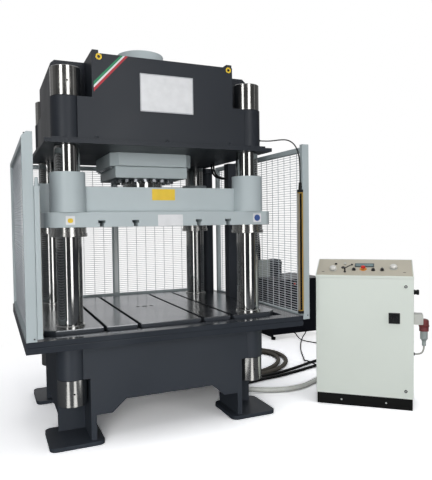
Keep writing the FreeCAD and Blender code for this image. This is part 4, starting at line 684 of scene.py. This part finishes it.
def band(name, low, high, finish):
    """One stripe of the slanted band, between two shares of its width."""
    start = np.array([[-0.537, 2.600], [-0.537, 2.530]])
    end = np.array([[-0.342, 2.802], [-0.286, 2.802]])
    corners = [start[0] + low * (start[1] - start[0]), start[0] + high * (start[1] - start[0]),
               end[0] + high * (end[1] - end[0]), end[0] + low * (end[1] - end[0])]
    outline = np.array([above(x, HEAD_FACE, z) for x, z in corners])
    return piece(name, [slab(outline, SKIN * TOWARDS)], finish)


band("band_green", 0.0, 0.36, VINYL_GREEN)
band("band_white", 0.36, 0.62, VINYL_WHITE)
band("band_red", 0.62, 1.0, VINYL_RED)

# ------------------------------------------------------------------ small steel


def disc(radius, low, high, at, axis=UP):
    """A round plug with an eased rim: its profile is turned round the axis."""
    edge = min(0.0006, (high - low) / 3)
    return turned([(0, low), (radius, low), (radius, high - edge), (radius - edge, high),
                   (0, high)], at, axis, 24)


def hex_head(across, low, high, at):
    """A bolt head of six sides with a bevelled crown: corners lie at across / sqrt 3."""
    return turned([(0, low), (across / math.sqrt(3), low), (across / math.sqrt(3), high - 0.002),
                   (across / 2, high), (0, high)], at, steps=6)


# Black discs on the nuts' faces: painted shade where the set-screw holes are.
screw_hole_shades = [disc(0.007, 0.1035, 0.1055, above(x, y, z), np.sign(y) * -TOWARDS)
               for x, y in COLUMNS for z in (0.382, 2.592)]
piece("nut_screw_hole_shades", screw_hole_shades, NYLON_BLACK)
BOLT_TURNS = (np.arange(20) + 0.5) * math.pi / 10
piece("bolt_washers", [disc(0.027, 1.954, 1.9585, above(0.25 * math.cos(a), 0.25 * math.sin(a), 0))
                       for a in BOLT_TURNS], ZINC)
piece("lip_bolts", [hex_head(0.022, 2.200, 2.213, above(x, sy * 0.7075, 0))
                    for x in (-0.524, 0.004, 0.524) for sy in (-1, 1)], ANTHRACITE, crease=20)
piece("post_cap", [disc(0.012, 2.160, 2.184, above(-1.020, -0.905, 0))], BLACK_ABS)
piece("post_screw", [disc(0.005, 0, 0.0015, above(-0.995, -0.925, 0.850), TOWARDS),
                     disc(0.005, 0, 0.0015, above(1.092, -0.925, 0.832), TOWARDS)], NYLON_BLACK)
# A pale strip down the front and back of the rear post: a painted highlight.
for tag, sign in (("front", -1), ("back", 1)):
    face = above(-0.055, 0.865 + sign * 0.020, 1.495)
    strip = laid(rounded(0.034, 1.230, 0.002), face, ACROSS, UP)
    piece(f"rear_post_painted_highlight_{tag}", [slab(strip, sign * SKIN * -TOWARDS)], POST_PAINTED_HIGHLIGHT)

# ------------------------------------------------------------------ light curtains


def upright_bar(x, y, width, deep, low, high, radius):
    """A bar of round-cornered section between two heights."""
    return slab(laid(rounded(width, deep, radius), above(x, y, low), ACROSS, -TOWARDS),
                (high - low) * UP)


CURTAIN_Y = -0.919
for tag, x, inward, coat, trim in (("left", -0.959, 1, GUARD_GREY, GUARD_GREY),
                                   ("right", 1.032, -1, OCHRE_COAT, NYLON_BLACK)):
    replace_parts(piece(f"curtain_{tag}_body", [upright_bar(x, CURTAIN_Y, 0.034, 0.034, 0.850,
                                                          1.840, 0.003)], coat), "light_curtains")
    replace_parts(piece(f"curtain_{tag}_ends", [
        upright_bar(x, CURTAIN_Y, 0.036, 0.036, low, low + 0.022, 0.003)
        for low in (0.850, 1.818)], trim), "light_curtains")
    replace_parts(piece(f"curtain_{tag}_connector", [turned(
        [(0, 1.840), (0.0135, 1.840), (0.0135, 1.866), (0.0115, 1.869), (0.0115, 1.888),
         (0.0075, 1.899), (0, 1.899)], above(x, CURTAIN_Y, 0), steps=32)], trim),
        "light_curtains")
    side_face = above(x + inward * 0.017, CURTAIN_Y, 1.345)
    cover = laid(rounded(0.030, 0.930, 0.001), side_face, -TOWARDS, UP)
    piece(f"curtain_{tag}_cover", [slab(cover, inward * SKIN * ACROSS)], BEIGE_ABS)
window = laid(rounded(0.019, 0.930, 0.001), above(1.0255, CURTAIN_Y - 0.017, 1.345), ACROSS, UP)
piece("curtain_right_window", [slab(window, SKIN * TOWARDS)], LENS)

# ------------------------------------------------------------------ motor and tank


def finned(radius, depth, count, low, high, at):
    """A ribbed barrel: r(a) = radius - depth (1 - |cos(count a / 2)|), the same at each height."""
    turn = np.linspace(0, 2 * math.pi, count * 6, endpoint=False)
    wide = radius - depth * (1 - np.abs(np.cos(count * turn / 2)))
    rim = np.stack([wide * np.cos(turn), wide * np.sin(turn), 0 * turn], -1)
    rows = [np.asarray(at) + share * rim + height * UP
            for share, height in ((0, low), (1, low), (1, high), (0, high))]
    return grid(np.stack(rows), False, True)


MOTOR_AT, SIGHT_AT = above(2.500, 2.080, 0), above(2.520, 1.550, 0.740)
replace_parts(piece("motor_barrel", [finned(0.115, 0.011, 40, 0.815, 0.961, MOTOR_AT)], MOTOR_GREY),
            "pump_motor")
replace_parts(piece("motor_ends", [
    turned([(0, 0.802), (0.127, 0.802), (0.127, 0.813), (0.124, 0.816), (0, 0.816)], MOTOR_AT),
    turned([(0, 0.960), (0.118, 0.960), (0.120, 0.962), (0.120, 1.003), (0.116, 1.009),
            (0.094, 1.032), (0.088, 1.035), (0.060, 1.035), (0.058, 1.032), (0, 1.032)],
           MOTOR_AT)], MOTOR_GREY), "pump_motor")
piece("tank_sight_ring", [turned([(0.014, 0), (0.024, 0), (0.024, 0.004), (0.022, 0.006),
                                  (0.014, 0.006)], SIGHT_AT, TOWARDS, 32)],
      NICKEL)
piece("tank_sight_glass", [disc(0.0142, 0, 0.004, SIGHT_AT, TOWARDS)], RED_ABS)

# ------------------------------------------------------------------ cabinet fittings
OUTWARD = -INTO
piece("plinth_screws", [disc(0.0075, 0, 0.002, in_cabinet(u, 0.008, 0.047), OUTWARD)
                        for u in (0.215, 0.581)], SATIN_CAP)
piece("side_knob", [turned([(0, 0), (0.021, 0), (0.021, 0.016), (0.017, 0.018), (0.017, 0.023),
                            (0.021, 0.025), (0.022, 0.028), (0.022, 0.042), (0.019, 0.045),
                            (0, 0.046)], in_cabinet(0.800, 0.100, 0.980), ALONG, 32)],
      NYLON_BLACK)
for tag, height in (("upper", 1.037), ("lower", 0.164)):
    at = in_cabinet(0.737, 0, height)
    piece(f"lock_ring_{tag}", [turned([(0.0065, 0.008), (0.013, 0.008), (0.0132, 0.0085),
                                       (0.0125, 0.0098), (0.0065, 0.0098)], at, OUTWARD, 32)],
          NYLON_BLACK, f"{tag}_lock")
    # A black slot on the lock head: painted shade of its keyway.
    slot = laid(rounded(0.010, 0.0028, 0.001), at + 0.008 * OUTWARD, ALONG, UP)
    piece(f"lock_keyway_shade_{tag}", [slab(slot, 0.0006 * OUTWARD)], NYLON_BLACK, f"{tag}_lock")
case = laid(rounded(0.076, 0.088, 0.010), in_cabinet(0.838, 0.0655, 0.756), ALONG, UP)
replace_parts(piece("socket_case", [slab(case, 0.089 * INTO)], PALE_ABS), "power_socket")
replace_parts(piece("socket_collar", [turned(
    [(0, 0.690), (0.040, 0.690), (0.042, 0.693), (0.042, 0.705), (0.039, 0.708), (0.039, 0.738),
     (0.034, 0.750), (0.020, 0.756), (0, 0.756)], in_cabinet(0.884, 0.110, 0), steps=48)],
    SOCKET_RED), "power_socket")

# ------------------------------------------------------------------ console


def console_ring(profile, u, d):
    """A turned piece that stands on the console: profile of (radius, height out of it)."""
    return turned(profile, on_console(u, d, 0), OUT, 40)


PANEL = 0.004  # the panel's face, out of the slope
PALM_LEFT, PALM_RIGHT = (0.142, 0.094), (0.643, 0.133)
STOP_SPOT, PUSH_SPOT, KEY_SPOT, LAMP_SPOT = (
    (0.394, 0.114), (0.237, 0.205), (0.224, 0.133), (0.159, 0.204))
DISPLAY_SPOT = (0.4035, 0.1815)
PALM_CAP = [(0, 0.017), (0.0275, 0.017), (0.029, 0.019), (0.029, 0.028), (0.0272, 0.033),
            (0.022, 0.0375), (0.013, 0.0403), (0, 0.041)]
STOP_CAP = [(0, 0.014), (0.009, 0.014), (0.010, 0.019), (0.019, 0.021), (0.020, 0.0235),
            (0.0193, 0.028), (0.016, 0.0325), (0.009, 0.0353), (0, 0.036)]
PUSH_CAP = [(0, 0.008), (0.0115, 0.008), (0.012, 0.0088), (0.012, 0.0145), (0.011, 0.016),
            (0, 0.0155)]
for name, profile, spot, finish, body, covers in (
        ("left_palm_cap", PALM_CAP, PALM_LEFT, WHITE_ABS, "left_palm", "palm_button_left"),
        ("right_palm_cap", PALM_CAP, PALM_RIGHT, WHITE_ABS, "right_palm", "palm_button_right"),
        ("stop_cap", STOP_CAP, STOP_SPOT, RED_ABS, "stop", "emergency_stop"),
        ("push_cap", PUSH_CAP, PUSH_SPOT, PALE_ABS, "push", "push_button")):
    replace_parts(piece(name, [console_ring(profile, *spot)], finish, body), covers)


def collar_profile(outer, height):
    """A flat ring on the panel with an eased rim."""
    top = PANEL + height
    return [(0.0085, PANEL), (outer, PANEL), (outer, top - 0.0008), (outer - 0.0008, top),
            (0.0085, top)]


for name, profile, spots, finish in (
        ("palm_collars", collar_profile(0.031, 0.004), (PALM_LEFT, PALM_RIGHT), PALE_ABS),
        ("stop_collar_ring", collar_profile(0.030, 0.003), (STOP_SPOT,), ORANGE_ABS),
        ("key_bezel", [(0.009, PANEL), (0.015, PANEL), (0.015, 0.011), (0.0135, 0.013),
                       (0.009, 0.013)], (KEY_SPOT,), BLACK_ABS),
        ("key_core", [(0, PANEL), (0.009, PANEL), (0.009, 0.0115), (0, 0.012)], (KEY_SPOT,),
         NICKEL),
        ("lamp_ring", [(0.009, PANEL), (0.012, PANEL), (0.012, 0.008), (0.009, 0.009)],
         (LAMP_SPOT,), BLACK_ABS),
        ("lamp_lens", [(0, PANEL), (0.009, PANEL), (0.009, 0.009), (0.007, 0.0125),
                       (0.003, 0.014), (0, 0.0142)], (LAMP_SPOT,), NYLON_BLACK)):
    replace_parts(piece(name, [console_ring(profile, *spot) for spot in spots], finish),
                "console_fittings")

LEVER_FOOT, LEVER_TIP, LEVER_H = (0.243, 0.059), (0.301, 0.123), 0.0423
lever_foot, lever_tip = (on_console(*spot, LEVER_H) for spot in (LEVER_FOOT, LEVER_TIP))
lever_reach = float(np.linalg.norm(lever_tip - lever_foot))
lever_way = (lever_tip - lever_foot) / lever_reach
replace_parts(piece("lever_stick", [
    console_ring([(0, 0.0043), (0.0105, 0.0043), (0.0105, 0.008), (0.0070, 0.010),
                  (0.0065, 0.044), (0.0045, 0.0465), (0, 0.0470)], *LEVER_FOOT),
    turned([(0, 0), (0.0040, 0), (0.0032, lever_reach), (0, lever_reach)], lever_foot,
           lever_way, 20),
    turned([(0, -0.0085), (0.0045, -0.0070), (0.0075, -0.0035), (0.0085, 0.0),
            (0.0075, 0.0035), (0.0045, 0.0070), (0, 0.0085)], lever_tip, lever_way, 24)],
    BLACK_ABS, "lever"), "control_lever")


def on_panel(width, deep, radius, u, d, h, thick):
    """A flat piece with round corners that lies on the console."""
    return slab(laid(rounded(width, deep, radius), on_console(u, d, h), ALONG, CLIMB),
                thick * OUT)


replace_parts(piece("display_frame", [on_panel(0.161, 0.061, 0.004, *DISPLAY_SPOT, PANEL, 0.007)],
                  SCREEN_CASE), "console_fittings")
piece("display_glass", [on_panel(0.145, 0.045, 0.002, *DISPLAY_SPOT, 0.011, 0.0006)], SCREEN)
# Two black patches on the panel: painted shade of its slots.
piece("panel_slot_shades", [on_panel(0.024, 0.007, 0.003, u, d, PANEL, 0.0005)
                      for u, d in ((0.059, 0.058), (0.729, 0.064))], NYLON_BLACK)
for tag, u, d in (("left", 0.317, 0.099), ("middle", 0.477, 0.096), ("right", 0.550, 0.098)):
    piece(f"{tag}_knob_pointer", [on_panel(0.0026, 0.015, 0.001, u, d + 0.005, 0.0283, 0.0005)],
          WHITE_ABS, f"{tag}_knob")
    piece(f"{tag}_knob_bezel", [console_ring([(0.0142, PANEL), (0.0185, PANEL), (0.0185, 0.0052),
                                              (0.0175, 0.0062), (0.0142, 0.0062)], u, d)], NICKEL)

# ------------------------------------------------------------------ light and camera


def studio():
    """A white room for the camera, an even glow for the paint, and a dark room for the steel
    with a bright wall behind the press and a few thin strips."""
    world = bpy.data.worlds.new("studio")
    world.use_nodes = True
    scene.world = world
    tree = world.node_tree
    tree.nodes.clear()
    way = add(tree, "TexCoord").outputs["Generated"]
    split = add(tree, "SeparateXYZ", {0: way})
    bearing = add(tree, "Math", {0: split.outputs[1], 1: split.outputs[0]},
                  operation="ARCTAN2").outputs[0]
    share = ranged(tree, bearing, 0, 1, (-math.pi, math.pi))
    strips = add(tree, "ValToRGB", {0: share})
    ramp = strips.color_ramp
    ramp.interpolation = "EASE"
    stops = [(0.00, 0.10), (0.04, 0.05), (0.30, 0.05), (0.39, 0.06), (0.41, 0.34), (0.43, 0.06),
             (0.50, 0.10), (0.56, 0.14), (0.62, 0.62), (0.76, 0.62), (0.80, 0.16), (0.825, 0.42),
             (0.85, 0.14), (0.92, 0.24), (0.96, 0.10)]
    while len(ramp.elements) < len(stops):
        ramp.elements.new(0.5)
    for element, (at, light) in zip(ramp.elements, stops):
        element.position = at
        element.color = (light, light, light * 1.01, 1)
    overhead = ranged(tree, split.outputs[2], 0, 1, (0.35, 0.9))
    room = blended(tree, overhead, strips.outputs[0], (0.45, 0.46, 0.48, 1))
    glow = add(tree, "Background", {"Color": linear("#f7f9ff"), "Strength": 0.38})
    mirror = add(tree, "Background", {"Color": room, "Strength": 1.0})
    white = add(tree, "Background", {"Color": (1, 1, 1, 1), "Strength": 1.0})
    rays = add(tree, "LightPath")
    lit = add(tree, "MixShader", {0: rays.outputs["Is Glossy Ray"], 1: glow.outputs[0],
                                  2: mirror.outputs[0]})
    seen = add(tree, "MixShader", {0: rays.outputs["Is Camera Ray"], 1: lit.outputs[0],
                                   2: white.outputs[0]})
    out = add(tree, "OutputWorld", {"Surface": seen.outputs[0]})
    out.is_active_output = True


def area_light(name, at, axes, size, power, mirrored, lights):
    """A rectangular light that shines against the last of its axes: right, up and back.

    Surfaces mirror it only where mirrored is set, and it lights them only where lights is.
    """
    light = bpy.data.lights.new(name, "AREA")
    light.shape = "RECTANGLE"
    light.size, light.size_y = size
    light.energy = power
    holder = bpy.data.objects.new(name, light)
    rows = np.stack([*axes, np.asarray(at, float)], -1).tolist()
    holder.matrix_world = Matrix(rows + [[0, 0, 0, 1]])
    holder.visible_camera = False
    holder.visible_glossy = mirrored
    holder.visible_diffuse = lights
    scene.collection.objects.link(holder)


def softbox(name, at, aim, size, power, mirrored=False, lights=True):
    """A rectangular light that looks at a point."""
    back = np.asarray(at, float) - np.asarray(aim, float)
    area_light(name, at, frame_of(back), size, power, mirrored, lights)


def floor():
    """A wide pale floor, a disc of rings, that goes over into the white room."""
    made = piece("floor", [turned([(0, 0.0), (3, 0.0), (12, 0.0), (30, 0.0)],
                                  above(0.9, 0.6, -0.0005), steps=64)], FLOOR)


def floor_paint():
    """A white floor for the eye: a soft shadow under the press, pure white from 3.2 m out.

    To the parts it is dark, so that undersides stay dark.
    """
    made, tree, shader = surface("white_floor")
    tree.nodes.remove(shader)
    spot = add(tree, "TexCoord").outputs["Object"]
    away = add(tree, "VectorMath", {0: spot, 1: (0.7, 0.2, -TABLE)}, operation="DISTANCE")
    fade = ranged(tree, away.outputs["Value"], 0.0, 1.0, (1.3, 3.2))
    cloud = ranged(tree, pattern(tree, 3000), 1.9, 2.0)
    gain = add(tree, "CombineColor", {0: cloud, 1: cloud, 2: cloud})
    lit = add(tree, "BsdfDiffuse", {"Color": gain.outputs[0]})
    shine = add(tree, "Emission", {"Color": (1, 1, 1, 1), "Strength": 1.0})
    shown = add(tree, "MixShader", {0: fade, 1: lit.outputs[0], 2: shine.outputs[0]})
    dark = add(tree, "BsdfDiffuse", {"Color": linear("#585a5d")})
    rays = add(tree, "LightPath")
    both = add(tree, "MixShader", {0: rays.outputs["Is Camera Ray"], 1: dark.outputs[0],
                                   2: shown.outputs[0]})
    tree.links.new(both.outputs[0], tree.nodes["Material Output"].inputs["Surface"])
    return made


FLOOR = floor_paint()
LEFT_STRIP, RIGHT_STRIP = (-2.62, -2.97), (0.99, -7.90)
floor()
studio()
softbox("key_light", (-3.4, -6.6, 1.1), (0.2, 0, 0.3), (3.0, 3.0), 220)
softbox("fill_light", (4.2, -6.4, 1.0), (0.6, 0, 0.3), (2.5, 2.5), 80)
softbox("top_light", (0.5, -1.5, 5.0), (0.5, 0, 0), (4.0, 4.0), 90)
softbox("low_light", (-2.5, -5.0, -0.25), (-0.4, -0.8, -0.5), (1.8, 0.9), 42)
softbox("rear_light", (3.6, 7.4, 2.4), (0.8, 0.6, 0.2), (3.0, 3.0), 110)
softbox("left_strip", (*LEFT_STRIP, 1.2), (0.0, -0.6, 1.2), (0.85, 4.4), 34, True, False)
softbox("right_strip", (*RIGHT_STRIP, 2.0), (0.0, -0.6, 2.0), (2.3, 6.4), 128, True, False)


def floor_streak(name, nut, strip, width, length=2.2, radiance=1.1):
    """A bright streak on the floor, on the way from a lower nut to a strip: the nut mirrors it.

    It shines upwards, and its power is radiance times pi times its area.
    """
    way = np.array([strip[0] - nut[0], strip[1] - nut[1], 0.0])
    way /= np.linalg.norm(way)
    middle = np.array([*nut, -0.85]) + 1.9 * way
    area_light(name, middle, (np.cross(UP, way), way, -UP), (width, length),
               radiance * math.pi * width * length, True, False)


floor_streak("left_nut_streak_a", COLUMNS[0], LEFT_STRIP, 0.42)
floor_streak("left_nut_streak_b", COLUMNS[0], RIGHT_STRIP, 0.44)
floor_streak("right_nut_streak_b", COLUMNS[2], RIGHT_STRIP, 0.44)


def camera():
    """The photograph's camera: bearing, tilt and roll in degrees, and its focal length in
    pixels of the 480 pixel side."""
    bearing, tilt, roll = (math.radians(a) for a in (-23.5304, -2.1351, -0.7679))
    ahead = np.array([-math.sin(bearing) * math.cos(tilt), math.cos(bearing) * math.cos(tilt),
                      math.sin(tilt)])
    level = np.array([math.cos(bearing), math.sin(bearing), 0])
    rise = np.cross(level, ahead)
    right = math.cos(roll) * level + math.sin(roll) * rise
    top = math.cos(roll) * rise - math.sin(roll) * level
    at = above(-1.2533, -4.4785, 1.6037)
    lens = bpy.data.cameras.new("view")
    lens.sensor_width = 36
    focal_px, side_px = 523.70, 480
    lens.lens = focal_px * lens.sensor_width / side_px
    lens.clip_end = 200
    holder = bpy.data.objects.new("view", lens)
    rows = np.stack([right, top, -ahead, at], -1).tolist()
    holder.matrix_world = Matrix(rows + [[0, 0, 0, 1]])
    scene.collection.objects.link(holder)
    scene.camera = holder


camera()
scene.view_settings.view_transform = "Standard"
